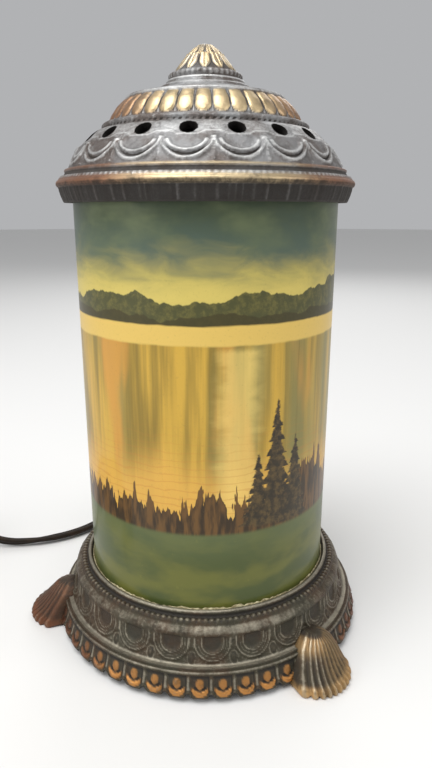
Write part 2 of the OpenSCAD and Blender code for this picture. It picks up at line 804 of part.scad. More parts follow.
base_casting();
deck_plate();
deck_screws();
nipple();
lock_nut();
lock_washer();
socket_cap();
socket_shell();
socket_liner();
socket_body();
socket_screw_shell();
socket_contact();
terminal_screws();
socket_leads();
bulb_glass();
bulb_screw_shell();
bulb_insulator();
bulb_tip();
bulb_stem();
bulb_filament();
pivot_yoke();
yoke_nuts();
needle_holder();
pivot_needle();
pivot_thimble();
drum_fan();
drum_rim();
drum_sleeve();
drum_hoop();
glass_gasket();
glass_cylinder();
cap_casting();
cord_bushing();
cord_inside();
cord_run();
cord_lead();
cord_coil();
cord_tie();
switch_base();
switch_cover();
switch_wheel();
switch_screw();
plug_body();
plug_blades();
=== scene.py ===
"""A rotating motion lamp: cast base on shell feet, picture glass, vented cap, and the drum inside."""

import math

import bmesh
import bpy
import numpy as np
from mathutils import Matrix, Vector


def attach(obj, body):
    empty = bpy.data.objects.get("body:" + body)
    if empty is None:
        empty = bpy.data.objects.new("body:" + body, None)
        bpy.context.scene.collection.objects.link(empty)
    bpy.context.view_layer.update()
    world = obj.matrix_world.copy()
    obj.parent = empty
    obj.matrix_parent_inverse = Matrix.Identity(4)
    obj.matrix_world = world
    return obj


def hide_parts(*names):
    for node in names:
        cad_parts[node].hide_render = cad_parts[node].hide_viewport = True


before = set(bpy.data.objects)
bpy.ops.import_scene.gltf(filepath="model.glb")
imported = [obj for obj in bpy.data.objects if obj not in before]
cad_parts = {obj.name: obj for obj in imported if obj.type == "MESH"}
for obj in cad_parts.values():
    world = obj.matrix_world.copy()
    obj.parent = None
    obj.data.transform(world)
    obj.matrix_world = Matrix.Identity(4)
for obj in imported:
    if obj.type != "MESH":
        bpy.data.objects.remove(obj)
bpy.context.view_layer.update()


# ---------------------------------------------------------------- camera
# A phone's view from just in front of the lamp, a little above its middle
# and tipped down, so the base is seen from above and the cap from the side.
MM = 0.001
EYE = Vector((5.4, -250.0, 176.3)) * MM
LENS = 28.31
TIPPED_DOWN = math.radians(16.05)
TURNED_LEFT = math.radians(0.33)

camera = bpy.data.objects.new("camera", bpy.data.cameras.new("camera"))
camera.data.sensor_width = 36
camera.data.lens = LENS
camera.data.clip_start = 0.01
camera.location = EYE
camera.rotation_euler = (math.pi / 2 - TIPPED_DOWN, 0, TURNED_LEFT)
bpy.context.scene.collection.objects.link(camera)
bpy.context.scene.camera = camera
bpy.context.scene.view_settings.view_transform = "Standard"


# ---------------------------------------------------------------- floor and light
# A plain pale table, a wide soft lamp overhead and weaker ones at the sides and
# behind. The floor fades into a pale surround, which metal and glass show too.
FLOOR_R = 6.0
FLOOR_TONE = (0.78, 0.775, 0.76, 1)
SURROUND = (0.80, 0.81, 0.83, 1)
SURROUND_LIGHT = 0.55
LIT_SPOT = Vector((0, 0, 0.1))
SOFT_LAMPS = [
    ("overhead", (-0.25, -0.35, 1.15), 0.9, 11.0),
    ("left_side", (-1.1, -0.7, 0.55), 0.7, 4.5),
    ("right_side", (1.1, -0.5, 0.7), 0.7, 3.5),
    ("behind", (0.2, 1.1, 0.9), 0.8, 4.0),
]


def finished(bm, name):
    """The object that a bmesh was made for."""
    made = bpy.data.objects.new(name, bpy.data.meshes.new(name))
    bm.to_mesh(made.data)
    bm.free()
    bpy.context.scene.collection.objects.link(made)
    return made


# A material is written as expressions. Wire stands for a socket, and its
# operators add Math nodes; Finish is one material and adds any other node.
class Wire:
    def __init__(self, finish, socket):
        self.finish = finish
        self.socket = socket

    def maths(self, operation, *others, clamp=False):
        values = {i + 1: other for i, other in enumerate(others)}
        settings = {"operation": operation, "use_clamp": clamp}
        return self.finish.node("ShaderNodeMath", settings, {0: self, **values})

    def __add__(self, other):
        return self.maths("ADD", other)

    def __sub__(self, other):
        return self.maths("SUBTRACT", other)

    def __rsub__(self, other):
        return self.maths("MULTIPLY", -1).maths("ADD", other)

    def __mul__(self, other):
        return self.maths("MULTIPLY", other)

    def __truediv__(self, other):
        return self.maths("DIVIDE", other)

    def __abs__(self):
        return self.maths("ABSOLUTE")

    __radd__ = __add__
    __rmul__ = __mul__

    def clamped(self):
        return self.maths("ADD", 0, clamp=True)

    def step(self, low, high):
        """0 below low, 1 above high, and smooth between; low may be the higher one."""
        settings = {"interpolation_type": "SMOOTHSTEP"}
        low_high = (low, high, 0, 1) if low < high else (high, low, 1, 0)
        values = dict(zip(("From Min", "From Max", "To Min", "To Max"), low_high))
        return self.finish.node("ShaderNodeMapRange", settings, {"Value": self, **values})


def paint(red, green, blue):
    """A colour as a screen shows it, 0 to 255, made linear."""
    shown = (c / 255 for c in (red, green, blue))
    return (*(((c + 0.055) / 1.055) ** 2.4 if c > 0.04045 else c / 12.92 for c in shown), 1)


class Finish:
    """One material, whose surface is the Principled shader's."""

    def __init__(self, name, **constants):
        self.material = bpy.data.materials.new(name)
        self.material.use_nodes = True
        self.tree = self.material.node_tree
        self.shader = self.tree.nodes["Principled BSDF"]
        self.set(**constants)

    def set(self, **values):
        """Sets or links the shader's own sockets, base_color for Base Color."""
        for name, value in values.items():
            socket = self.shader.inputs[name.replace("_", " ").title().replace("Ior", "IOR")]
            self.join(value, socket)

    def join(self, value, socket):
        if isinstance(value, Wire):
            self.tree.links.new(value.socket, socket)
        else:
            socket.default_value = value

    def node(self, kind, settings, values, output=0):
        """Adds a node: its settings first, then the values or links of its sockets."""
        made = self.tree.nodes.new(kind)
        for name, value in settings.items():
            setattr(made, name, value)
        for name, value in values.items():
            self.join(value, made.inputs[name])
        return Wire(self, made.outputs[output])

    def axes(self):
        """Object x, y and z in millimetres."""
        where = self.node("ShaderNodeTexCoord", {}, {}, "Object")
        split = self.node("ShaderNodeSeparateXYZ", {}, {"Vector": where})
        sockets = split.socket.node.outputs
        return [Wire(self, sockets[i]) * (1 / MM) for i in range(3)]

    def noise(self, size, detail=3, rough=0.55, stretch=(1, 1, 1), warp=0.0):
        """Cloudy noise from 0 to 1, whose lumps are about size millimetres."""
        where = self.node("ShaderNodeTexCoord", {}, {}, "Object")
        stretched = self.node("ShaderNodeMapping", {}, {"Vector": where, "Scale": stretch})
        values = {
            "Vector": stretched, "Scale": 1 / (size * MM), "Detail": detail,
            "Roughness": rough, "Distortion": warp,
        }
        return self.node("ShaderNodeTexNoise", {}, values)

    def attribute(self, name):
        """A number that the mesh carries at each point."""
        return self.node("ShaderNodeAttribute", {"attribute_name": name}, {}, "Fac")

    def mix(self, factor, first, second):
        """The first colour where the factor is 0, the second where it is 1."""
        return self.node("ShaderNodeMix", {"data_type": "RGBA"}, {0: factor, 6: first, 7: second}, 2)

    def bump(self, height, deep):
        """A normal from a height of 0 to 1 that stands for deep millimetres."""
        return self.node("ShaderNodeBump", {}, {"Height": height, "Distance": deep * MM})


bm = bmesh.new()
bmesh.ops.create_circle(bm, cap_ends=True, segments=96, radius=FLOOR_R)
floor = finished(bm, "floor")
floor_paint = Finish("pale_floor", base_color=FLOOR_TONE, roughness=0.9)
floor.data.materials.append(floor_paint.material)

world = bpy.data.worlds.new("surround")
world.use_nodes = True
background = world.node_tree.nodes["Background"]
background.inputs["Color"].default_value = SURROUND
background.inputs["Strength"].default_value = SURROUND_LIGHT
bpy.context.scene.world = world

for name, place, width, power in SOFT_LAMPS:
    light = bpy.data.lights.new(name, "AREA")
    light.shape = "DISK"
    light.size = width
    light.energy = power
    lamp = bpy.data.objects.new(name, light)
    lamp.location = place
    lamp.rotation_euler = (LIT_SPOT - Vector(place)).to_track_quat("-Z", "Y").to_euler()
    bpy.context.scene.collection.objects.link(lamp)


# ---------------------------------------------------------------- cord
# Flat two-core flex: two insulated wires moulded side by side. It leaves the
# bushing at the back, runs through the switch, and is coiled beyond it.
CORD_WIDE = 5.2
CORE_R = 1.36
COIL_AT = (-172, -16)
COIL_START = 180
COIL_TURNS = 7.25
COIL_INNER = 20.9
COIL_PITCH = 5.65
COIL_LOW = 3.4
STRAIGHT_IN = 5.6
STRAIGHT_OUT = 23
COIL_STEPS = 40
TILT_AT = (0, 60, 100, 128, 150, 175, 260, 300)
TILT = (90, 60, 10, 12, 55, 90, 90, 60)

run_points = [
    (-7.41, 84.7, 14.5), (-7.9, 90.3, 14.4), (-10, 97.5, 12.6), (-15, 104.5, 9.6),
    (-22.5, 109, 6.6), (-31, 110, 4.2), (-39.5, 107.5, 3), (-46.5, 102, 2.65),
    (-51.5, 94.5, 2.65), (-55, 85, 2.65), (-58.5, 75, 2.65), (-63.5, 65.5, 2.65),
    (-71, 56.5, 2.65), (-80.5, 49.5, 2.65), (-91.5, 44.8, 2.65), (-103, 42.3, 2.7),
    (-108, 41.7, 3.1), (-113.2, 41.3, 4.2), (-118.4, 41.1, 6), (-123.5, 41, 7.15),
    (-128.7, 41, 7.5), (-133.95, 41, 7.5),
]
lead_points = [
    (-192.05, 41, 7.5), (-197.6, 41, 7.4), (-205.4, 39.4, 6.6), (-212.2, 34.8, 5.2),
    (-216.8, 28, 4.1), (-218.4, 20, 3.5), (-217.6, 12, 3.4), (-215.7, 4, 3.4),
    (-214, -4, 3.4),
]


def coil_point(turn):
    """The coil winds in to its middle turn and out again one layer higher."""
    angle = math.radians(COIL_START + 360 * turn)
    radius = COIL_INNER + COIL_PITCH * abs(turn - COIL_TURNS / 2)
    climb = min(1, max(0, (turn - COIL_TURNS / 2 + 0.25) / 0.5))
    rise = COIL_PITCH * (3 * climb**2 - 2 * climb**3)
    x, y = COIL_AT
    return x + radius * math.cos(angle), y + radius * math.sin(angle), COIL_LOW + rise


def heading(degrees):
    """The way that the coil runs at that angle."""
    angle = math.radians(degrees)
    return Vector((-math.sin(angle), math.cos(angle), 0))


coil_count = round(COIL_STEPS * COIL_TURNS)
coil_points = [Vector(coil_point(COIL_TURNS * i / coil_count)) for i in range(coil_count + 1)]
coil_end_deg = COIL_START + 360 * COIL_TURNS
coil_first = coil_points[0] - STRAIGHT_IN * heading(COIL_START)
coil_last = coil_points[-1] + STRAIGHT_OUT * heading(coil_end_deg)
free_points = [Vector(p) for p in run_points + lead_points] + [coil_first]


def rounded(points, parts):
    """A smooth line through the points, each stretch cut in parts."""
    ends = [2 * points[0] - points[1], *points, 2 * points[-1] - points[-2]]
    line = []
    for before, start, end, after in zip(ends, ends[1:], ends[2:], ends[3:]):
        pull = (end - start).length
        out = (end - before) * pull / ((start - before).length + pull)
        into = (after - start) * pull / ((after - end).length + pull)
        for i in range(parts):
            t = i / parts
            line.append(
                start * (2 * t**3 - 3 * t**2 + 1) + out * (t**3 - 2 * t**2 + t)
                + end * (3 * t**2 - 2 * t**3) + into * (t**3 - t**2)
            )
    return line + [points[-1]]


cord_route = [p * MM for p in rounded(free_points, 4) + coil_points + [coil_last]]
run_length = sum((b - a).length for a, b in zip(cord_route, cord_route[1:]))

# the two cores side by side, drawn once round and swept along the route
core_gap = CORD_WIDE / 2 - CORE_R
bevel = bpy.data.curves.new("cord_section", "CURVE")
bevel.dimensions = "2D"
section = bevel.splines.new("POLY")
section_points = [
    (side * core_gap + CORE_R * math.cos(math.radians(turn)), CORE_R * math.sin(math.radians(turn)))
    for side, turns in ((1, range(-135, 136, 30)), (-1, range(45, 316, 30)))
    for turn in turns
]
section.points.add(len(section_points) - 1)
for point, (x, y) in zip(section.points, section_points):
    point.co = (x * MM, y * MM, 0, 1)
section.use_cyclic_u = True
bevel_object = bpy.data.objects.new("cord_section", bevel)

line = bpy.data.curves.new("cord_line", "CURVE")
line.dimensions = "3D"
line.twist_mode = "Z_UP"
line.bevel_mode = "OBJECT"
line.bevel_object = bevel_object
line.use_fill_caps = True
spline = line.splines.new("POLY")
spline.points.add(len(cord_route) - 1)
travelled = 0.0
for i, place in enumerate(cord_route):
    travelled += (place - cord_route[i - 1]).length / MM if i else 0
    spline.points[i].co = (*place, 1)
    spline.points[i].tilt = math.radians(np.interp(travelled, TILT_AT, TILT))
line_object = bpy.data.objects.new("cord_line", line)
bpy.context.scene.collection.objects.link(bevel_object)
bpy.context.scene.collection.objects.link(line_object)
bpy.context.view_layer.update()
evaluated = line_object.evaluated_get(bpy.context.evaluated_depsgraph_get())
swept = bpy.data.meshes.new_from_object(evaluated)
cord = bpy.data.objects.new("cord", swept)
bpy.context.scene.collection.objects.link(cord)
bpy.data.objects.remove(line_object)
bpy.data.objects.remove(bevel_object)
bm = bmesh.new()
bm.from_mesh(cord.data)
bmesh.ops.remove_doubles(bm, verts=bm.verts[:], dist=1e-6)
bmesh.ops.recalc_face_normals(bm, faces=bm.faces[:])
bm.to_mesh(cord.data)
bm.free()
cord.data.materials.clear()
for face in cord.data.polygons:
    face.use_smooth = len(face.vertices) == 4

vinyl = Finish("cord_vinyl", specular_ior_level=0.2)
vinyl_dust = vinyl.noise(5, 4, 0.6)
vinyl.set(
    base_color=vinyl.mix(vinyl_dust.step(0.35, 0.75), paint(30, 22, 15), paint(50, 39, 28)),
    roughness=0.42 + vinyl_dust * 0.2,
    normal=vinyl.bump(vinyl.noise(0.7, 2), 0.05),
)
cord.data.materials.append(vinyl.material)
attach(cord, "stand")
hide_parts("cord_run", "cord_lead", "cord_coil")


def dress(finish, *nodes):
    """Gives CAD nodes a finish."""
    for name in nodes:
        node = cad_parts[name]
        node.data.materials.clear()
        node.data.materials.append(finish.material)


dress(vinyl, "cord_inside", "cord_bushing")


# ---------------------------------------------------------------- base casting
# One hollow casting: a ledge and upstand for the glass, a row of beads, a worn
# ovolo, twenty-four swags, two fillets and forty-eight hanging tongues.
BASE_STEPS = 720
BASE_FINE = 0.55
BASE_COARSE = 2.6
SWAGS = 24
SWAG_PHASE = 2.9
TONGUES = 48
TONGUE_PHASE = -1.4
BEADS = 152
SWAG_TOP_Z = 23.7
TONGUE_TOP_Z = 11.0


def arc(r, z, radius, start, end, count=5):
    """Points on a round moulding of an outline."""
    angles = (math.radians(start + (end - start) * i / (count - 1)) for i in range(count))
    return [(r + radius * math.cos(a), z + radius * math.sin(a)) for a in angles]


base_outer = [
    (46.5, 23.0), (46.5, 26.0), (52.3, 26.0), *arc(53.3, 29.3, 1.0, 180, 0, 7),
    (54.3, 28.3), (54.9, 28.0), *arc(56.1, 27.0, 1.25, 130, -10, 8),
    (57.5, 26.2), (58.5, 25.7), (59.3, 24.7), (59.75, 23.5), (59.55, 22.6),
    (59.7, 21.0), (60.2, 18.8), (60.9, 16.6), (61.8, 14.6), (62.6, 13.3),
    *arc(63.5, 12.4, 0.85, 120, -30, 6), *arc(64.6, 11.2, 0.85, 110, -40, 6),
    (65.3, 10.2), (65.8, 8.4), (66.5, 6.2), (67.3, 4.1), (67.9, 2.9), (67.7, 2.2),
    (67.0, 1.9),
]
base_inner = [
    (65.4, 2.2), (64.4, 5.5), (62.6, 10.5), (60.5, 13.4), (58.9, 16.5), (57.6, 20.5),
    (56.6, 23.0),
]


def turned(name, outer, inner, fine, coarse, steps, parts=16):
    """A shape of revolution about Z: one part of the turn is spun, and repeated round.
    The outline's outer side is cut to pieces of fine millimetres, the rest to coarse ones."""
    bm = bmesh.new()
    outline = outer + inner
    chain = [bm.verts.new((r * MM, 0, z * MM)) for r, z in outline]
    sides = []
    for i in range(len(outline)):
        after = (i + 1) % len(outline)
        if outline[i][0] + outline[after][0]:
            side = bm.edges.new((chain[i], chain[after]))
            sides.append((side, fine if i < len(outer) - 1 else coarse))
    for edge, spacing in sides:
        cuts = round(edge.calc_length() / (spacing * MM)) - 1
        if cuts > 0:
            bmesh.ops.subdivide_edges(bm, edges=[edge], cuts=cuts)
    part = 2 * math.pi / parts
    about = {"cent": (0, 0, 0), "axis": (0, 0, 1), "dvec": (0, 0, 0)}
    bmesh.ops.spin(bm, geom=bm.verts[:] + bm.edges[:], angle=part, steps=steps // parts, **about)
    first = bm.verts[:] + bm.edges[:] + bm.faces[:]
    around = 2 * math.pi - part
    bmesh.ops.spin(bm, geom=first, angle=around, steps=parts - 1, use_duplicate=True, **about)
    bmesh.ops.remove_doubles(bm, verts=bm.verts[:], dist=2e-6)
    bmesh.ops.recalc_face_normals(bm, faces=bm.faces[:])
    made = finished(bm, name)
    made.data.shade_smooth()
    return made


def folded(angle, phase, count):
    """How far each angle is from the middle of its unit, in degrees."""
    pitch = 360 / count
    return (angle - phase + pitch / 2) % pitch - pitch / 2


def ridge(distance, half):
    """A rounded ridge of height 1 and that half width."""
    return np.clip(1 - (distance / half) ** 2, 0, 1)


def smooth(value, low, high):
    """0 at low and 1 at high, smooth between."""
    t = np.clip((value - low) / (high - low), 0, 1)
    return t * t * (3 - 2 * t)


def waves(angle, *parts):
    """A repeating unevenness of about -1 to 1 round the lamp, from (count, phase) pairs."""
    return sum(np.sin(np.radians(angle * count + phase)) for count, phase in parts) / len(parts)


def read(mesh, what):
    """The co or normal of every point of a mesh, one row each."""
    values = np.empty(len(mesh.vertices) * 3)
    mesh.vertices.foreach_get(what, values)
    return values.reshape(-1, 3)


def carve(piece, carving):
    """Moves the outer skin by the carving's height and rise in millimetres, and keeps for the finish
    how worn and how shaded each point is (-1 dark in a hollow and in painted shade, 1 worn bright and
    at a painted highlight) and its gilding. Angles run from the front (-Y) towards +X."""
    mesh = piece.data
    place, normal = read(mesh, "co"), read(mesh, "normal")
    radius = np.hypot(place[:, 0], place[:, 1])
    outward = (place[:, 0] * normal[:, 0] + place[:, 1] * normal[:, 1]) / np.maximum(radius, 1e-6)
    skin = smooth(outward + 0.8 * normal[:, 2], 0.05, 0.3)
    angle = np.degrees(np.arctan2(place[:, 0], -place[:, 1]))
    height, rise, wear_and_shading, gilt = carving(radius / MM, place[:, 2] / MM, angle)
    place += normal * (height * skin * MM)[:, None]
    place[:, 2] += rise * MM
    mesh.vertices.foreach_set("co", place.ravel())
    for name, values in (("wear_and_shading", wear_and_shading * skin - (1 - skin)), ("gilt", gilt * skin)):
        layer = mesh.attributes.new(name, "FLOAT", "POINT")
        layer.data.foreach_set("value", np.clip(values, -1, 1).astype(np.float32))
    mesh.update()


def base_carving(r, z, angle):
    gilt = np.zeros_like(r)

    # bead by the glass with a painted highlight along its top, a dark groove, and a row of round beads
    wear_and_shading = 0.9 * smooth(z, 29.4, 30.1) - 0.9 * smooth(z, 29.4, 28.8) * smooth(r, 55.3, 54.6)
    bead = folded(angle, 0.4, BEADS) / (180 / BEADS)
    on_row = ridge(r - 56.1, 1.7) * smooth(z, 26.0, 27.0)
    pearl = np.sqrt(np.clip(1 - (bead / 0.92) ** 2 - ((r - 56.0) / 1.4) ** 2, 0, 1))
    height = on_row * (0.65 * pearl - 0.42)
    wear_and_shading += on_row * (1.5 * pearl - 0.8)

    # ovolo: its crest is rubbed pale and dented by age
    on_crest = smooth(r, 57.1, 57.7) * smooth(z, SWAG_TOP_Z - 0.4, SWAG_TOP_Z + 0.9)
    dents = waves(angle, (83, 0), (139, 60), (211, 30), (47, 210), (23, 80))
    height += on_crest * 0.12 * dents
    wear_and_shading += on_crest * (0.4 + 0.25 * dents + 0.22 * waves(angle, (3, 70), (5, 20)))

    # swags: a rough round eye in three thin U-shaped lines, with a drop between two swags
    off = np.radians(folded(angle, SWAG_PHASE, SWAGS)) * r
    down = (SWAG_TOP_Z - z) * 1.1
    here = smooth(down, 0.0, 1.3) * smooth(z, 12.9, 13.2)
    around = np.hypot(off, np.maximum(down - 3.6, 0))
    eye = smooth(around, 3.6, 3.0)
    lines = ridge(around - 4.1, 0.45) + 0.8 * ridge(around - 5.35, 0.35) + ridge(around - 6.6, 0.4)
    edge = math.pi * r / SWAGS - abs(off)
    spandrel = smooth(around, 7.1, 7.4) * smooth(down, 5.6, 7.0)
    band = 0.22 * ridge(around - 7.2, 0.5) * (1 - spandrel)
    swell = 0.4 * smooth(edge, 2.4, 0.6) * smooth(down, 7.0, 4.0)
    drop = np.hypot(edge, (down - 9.3) / 1.6)
    height += here * (0.5 * lines * (1 - spandrel) - 0.4 * eye - 0.15 + band + swell)
    height += here * spandrel * (0.45 * ridge(drop, 1.0) - 0.3)
    wear_and_shading += here * (0.95 * lines * (1 - spandrel) - 0.2 - 0.2 * eye + 0.6 * band + 0.7 * swell)
    wear_and_shading += here * spandrel * (0.35 + 0.4 * ridge(drop - 1.5, 0.35) - 0.7 * ridge(drop - 0.9, 0.4))

    # a painted highlight line along the top edge of each of the two fillets
    wear_and_shading += 0.7 * ridge(z - 13.2, 0.3) * smooth(r, 61.8, 62.3)
    wear_and_shading -= 0.3 * ridge(z - 12.5, 0.5) * smooth(r, 63.6, 64)
    wear_and_shading += 0.7 * ridge(z - 11.7, 0.35) * smooth(r, 64.6, 65.0)

    # tongues: a thick lip round the bottom, a gap, a long boss above it, and bars between
    off = np.radians(folded(angle, TONGUE_PHASE, TONGUES)) * r
    down = (TONGUE_TOP_Z - z) * 1.06
    here = smooth(down, 0.3, 1.0) * smooth(z, 1.6, 2.2)
    outside = np.where(down > 4.9, np.hypot(off, down - 4.9), abs(off))
    inside = np.hypot(off / 1.15, np.maximum(down - 3.8, 0))
    lip = smooth(outside, 3.6, 3.2) * smooth(inside, 2.3, 2.7) * smooth(down, 4.4, 6.0)
    sides = ridge(outside - 3.1, 0.4) * smooth(down, 6.0, 4.6)
    boss = smooth(np.hypot(off / 1.6, (down - 3.7) / 2.3), 1.05, 0.75)
    edge = math.pi * r / TONGUES - abs(off)
    bar = smooth(edge, 0.85, 0.5) * smooth(down, 7.2, 6.4)
    ditch = ridge(edge - 1.1, 0.35)
    gap = smooth(inside, 2.6, 2.3) * smooth(down, 4.6, 5.4) * (1 - boss)
    height += here * (0.7 * lip + 0.2 * sides + 0.5 * boss + 0.4 * bar - 0.3 * ditch - 0.3 - 0.25 * gap)
    wear_and_shading += here * (0.7 * bar + 0.35 * sides + 0.5 * lip * ridge(outside - 2.5, 0.6) + 0.1 * boss)
    wear_and_shading -= here * (0.7 * ditch + 0.8 * gap)
    # painted shadow: the tops of the tongues are darkened under the fillet above them
    wear_and_shading -= here * 0.7 * smooth(down, 2.0, 0.8)
    wear_and_shading -= 0.4 * here * smooth(down, 6.6, 5.2) * (1 - boss) * (1 - bar)
    gilt += here * np.maximum(0.85 * lip, 0.6 * boss)

    # the lower edge is cut in scallops that follow the tongues
    rise = 2.0 * smooth(abs(off), 2.6, 4.2) * smooth(z, 6.5, 2.2)
    return height, rise, wear_and_shading, gilt


base_ring = turned("base_ring", base_outer, base_inner, BASE_FINE, BASE_COARSE, BASE_STEPS)
carve(base_ring, base_carving)


def cast_finish(name, ground, brown, raised, hollow, gold, copper_side_sheen, side_sheen_from, side_sheen_to):
    """Antiqued plate on cast metal: dark in the hollows, worn bright on what stands out,
    and gilt in places, with painted shade and painted highlights given the same way. Towards the
    left and right sides, between two distances in millimetres, it turns more brown and the gold
    coppery: a painted sheen. A gilding of -1 marks a bored hole, painted black as its shade."""
    cast = Finish(name)
    wear_and_shading = cast.attribute("wear_and_shading")
    gilt = cast.attribute("gilt")
    cloud = cast.noise(13, 4, 0.6)
    patch = cast.noise(4.5, 4, 0.62)
    grain = cast.noise(1.1, 4, 0.68)
    uneven = (grain - 0.5) + (patch - 0.5) * 1.1
    bright = (wear_and_shading + uneven * 0.8).step(0.1, 1.05)
    dark = (wear_and_shading * -1 + uneven * 0.6).step(0.05, 0.8)
    # painted sheen: left and right of the middle as seen from the front, the plate turns more brown and
    # the gold coppery
    side_sheen_reach = abs(cast.axes()[0] - 3) + (cast.noise(19, 3, 0.55) - 0.5) * 26
    browner_and_side_sheen = (cloud.step(0.4, 0.66) + side_sheen_reach.step(side_sheen_from, side_sheen_to) * 0.55).clamped()
    tone = cast.mix(browner_and_side_sheen, ground, brown)
    tone = cast.mix((grain - 0.5).step(0.0, 0.3) * 0.3, tone, raised)
    tone = cast.mix((patch - 0.5).step(0.02, -0.2) * 0.42, tone, hollow)
    tone = cast.mix(bright * 0.85, tone, raised)
    golden = cast.mix(side_sheen_reach.step(side_sheen_from, side_sheen_to), gold, copper_side_sheen)
    golden = cast.mix((patch - 0.5).step(0.0, 0.2) * 0.4, golden, hollow)
    golden = cast.mix((wear_and_shading + uneven * 1.2).step(0.3, 0.9) * 0.45, golden, raised)
    tone = cast.mix(gilt.clamped(), tone, golden)
    tone = cast.mix(dark * 0.9, tone, hollow)
    # painted shade: where the gilding is below 0 the colour goes towards near black, which in the bored
    # vent holes stands for their shade
    painted_black = (gilt * -1).clamped()
    cast.set(
        base_color=cast.mix(painted_black, tone, paint(16, 9, 4)),
        metallic=(0.5 + bright * 0.25 + gilt * 0.4 - dark * 0.4).clamped(),
        roughness=(0.48 - bright * 0.08 - gilt * 0.1 + dark * 0.25 + (grain - 0.5) * 0.2).clamped(),
        normal=cast.bump((cast.noise(0.45, 3, 0.7) * 0.5 + grain + patch) * (1 - gilt * 0.5), 0.25),
    )
    return cast


base_cast = cast_finish(
    "antique_base", paint(68, 64, 50), paint(76, 60, 44), paint(160, 153, 136), paint(30, 26, 20),
    paint(206, 144, 78), paint(120, 76, 56), 30, 62,
)
base_ring.data.materials.append(base_cast.material)
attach(base_ring, "stand")
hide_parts("base_casting")


# ---------------------------------------------------------------- shell feet
# Three scallop shells cast on the skirt. Eleven ribs fan out from each hinge
# and end in lumps on the rolled lip that the lamp stands on.
FOOT_AZS = (40, 160, 280)
RIBS = 11
LEAN_OVER = 2.0
SIDE_TUCK = 0.985
FOOT_Y = -70
ROOT_Y = -58.5
ROOT_WIDE = 0.86
ROOT_DEEP = 0.12
foot_spine = [
    (66.4, 16.6), (68.1, 16.0), (69.6, 14.6), (70.9, 12.8), (72.8, 10.1), (75.0, 7.2),
    (77.5, 4.7), (79.4, 2.9), (80.1, 1.5), (79.4, 0.3), (76.5, 0.0),
]
foot_widths = [
    (0.0, 12.0), (0.8, 13.1), (2.5, 13.3), (5.2, 12.4), (9.5, 10.6), (13, 8.6), (15, 6.4),
    (16.1, 4.4), (16.6, 2.6),
]
skirt_reach = [(0, 68), (2.9, 67.9), (8.4, 65.8), (13.3, 62.6), (16.6, 60.9), (19.2, 60.0)]
spine = np.array(foot_spine)
spine_way = np.concatenate([[0], np.cumsum(np.hypot(*np.diff(spine, axis=0).T))])
spine_way /= spine_way[-1]

shells = bmesh.new()
shells.verts.layers.float.new("wear_and_shading")
shells.verts.layers.float.new("gilt")
for az in FOOT_AZS:
    bm = bmesh.new()
    bmesh.ops.create_grid(bm, x_segments=96, y_segments=52, size=1)
    wear_and_shading_layer = bm.verts.layers.float.new("wear_and_shading")
    gilt_layer = bm.verts.layers.float.new("gilt")
    spots = {}

    # the plain fan, from side to side and along from its hinge to its toe
    for vert in bm.verts:
        side, along = vert.co.x, (1 - vert.co.y) / 2
        reach = np.interp(along, spine_way, spine[:, 0])
        z = np.interp(along, spine_way, spine[:, 1])
        half = np.interp(z, *zip(*foot_widths))
        dip = reach - np.interp(z, *zip(*skirt_reach)) + 0.3
        spots[vert.index] = (side, along)
        tuck = dip * (1 - math.sqrt(1 - (SIDE_TUCK * side) ** 2))
        vert.co = (side * half + LEAN_OVER * float(smooth(z, 2, 16)), tuck - reach, z)
    bmesh.ops.recalc_face_normals(bm, faces=bm.faces[:])
    bm.normal_update()
    if sum(v.normal.y for v in bm.verts) > 0:
        bmesh.ops.reverse_faces(bm, faces=bm.faces[:])
        bm.normal_update()

    # its ribs and lip, where they are rubbed, a painted highlight on the ribs of one side, and the
    # gilding
    for vert in bm.verts:
        side, along = spots[vert.index]
        rib = abs(math.sin(RIBS * math.pi * (side + 1) / 2))
        grown = 0.4 + 0.7 * smooth(along, 0.05, 0.7)
        lip = smooth(along, 0.66, 0.8) * smooth(along, 0.98, 0.9)
        ends = smooth(along, 0.99, 0.9)
        arch = smooth(along, 0.0, 0.1)
        vert.co += vert.normal * float((arch * grown * (rib - 0.5) + lip * (0.3 * rib + 0.3)) * ends)
        vert.co.z = max(vert.co.z, 0.0)
        crown = smooth(along, 0.04, 0.1) * smooth(along, 0.4, 0.14) * smooth(side, 0.5, -0.4)
        lump = lip * smooth(side, -0.45, -0.8)
        # painted highlight: the ribs on one side of each shell are made brighter, as on a lit side
        shine = 0.55 + 0.45 * smooth(side, 0.2, -0.5)
        rubbed_and_shine = 1.1 * shine * rib**3 - 0.5 + 0.4 * crown + 0.45 * lip - 0.2 * (1 - arch)
        vert[wear_and_shading_layer] = float(rubbed_and_shine)
        body = 0.28 * arch * smooth(side, -0.5, 0.1)
        vert[gilt_layer] = float(min(1, body + lip * (0.3 + 0.2 * rib) + 0.5 * crown + 0.5 * lump))

    # its back, closed inside the skirt of the base
    rim = [edge for edge in bm.edges if edge.is_boundary]
    extruded = bmesh.ops.extrude_edge_only(bm, edges=rim)["geom"]
    for vert in (g for g in extruded if isinstance(g, bmesh.types.BMVert)):
        vert.co = (vert.co.x * ROOT_WIDE, ROOT_Y + (vert.co.y - FOOT_Y) * ROOT_DEEP, vert.co.z)
    bmesh.ops.holes_fill(bm, edges=[edge for edge in bm.edges if edge.is_boundary])
    bmesh.ops.scale(bm, vec=(MM, MM, MM), verts=bm.verts[:])
    round_lamp = Matrix.Rotation(math.radians(az), 3, "Z")
    bmesh.ops.rotate(bm, cent=(0, 0, 0), matrix=round_lamp, verts=bm.verts[:])
    bmesh.ops.recalc_face_normals(bm, faces=bm.faces[:])
    one = bpy.data.meshes.new("shell")
    bm.to_mesh(one)
    bm.free()
    shells.from_mesh(one)
    bpy.data.meshes.remove(one)
feet = finished(shells, "shell_feet")
feet.data.shade_smooth()
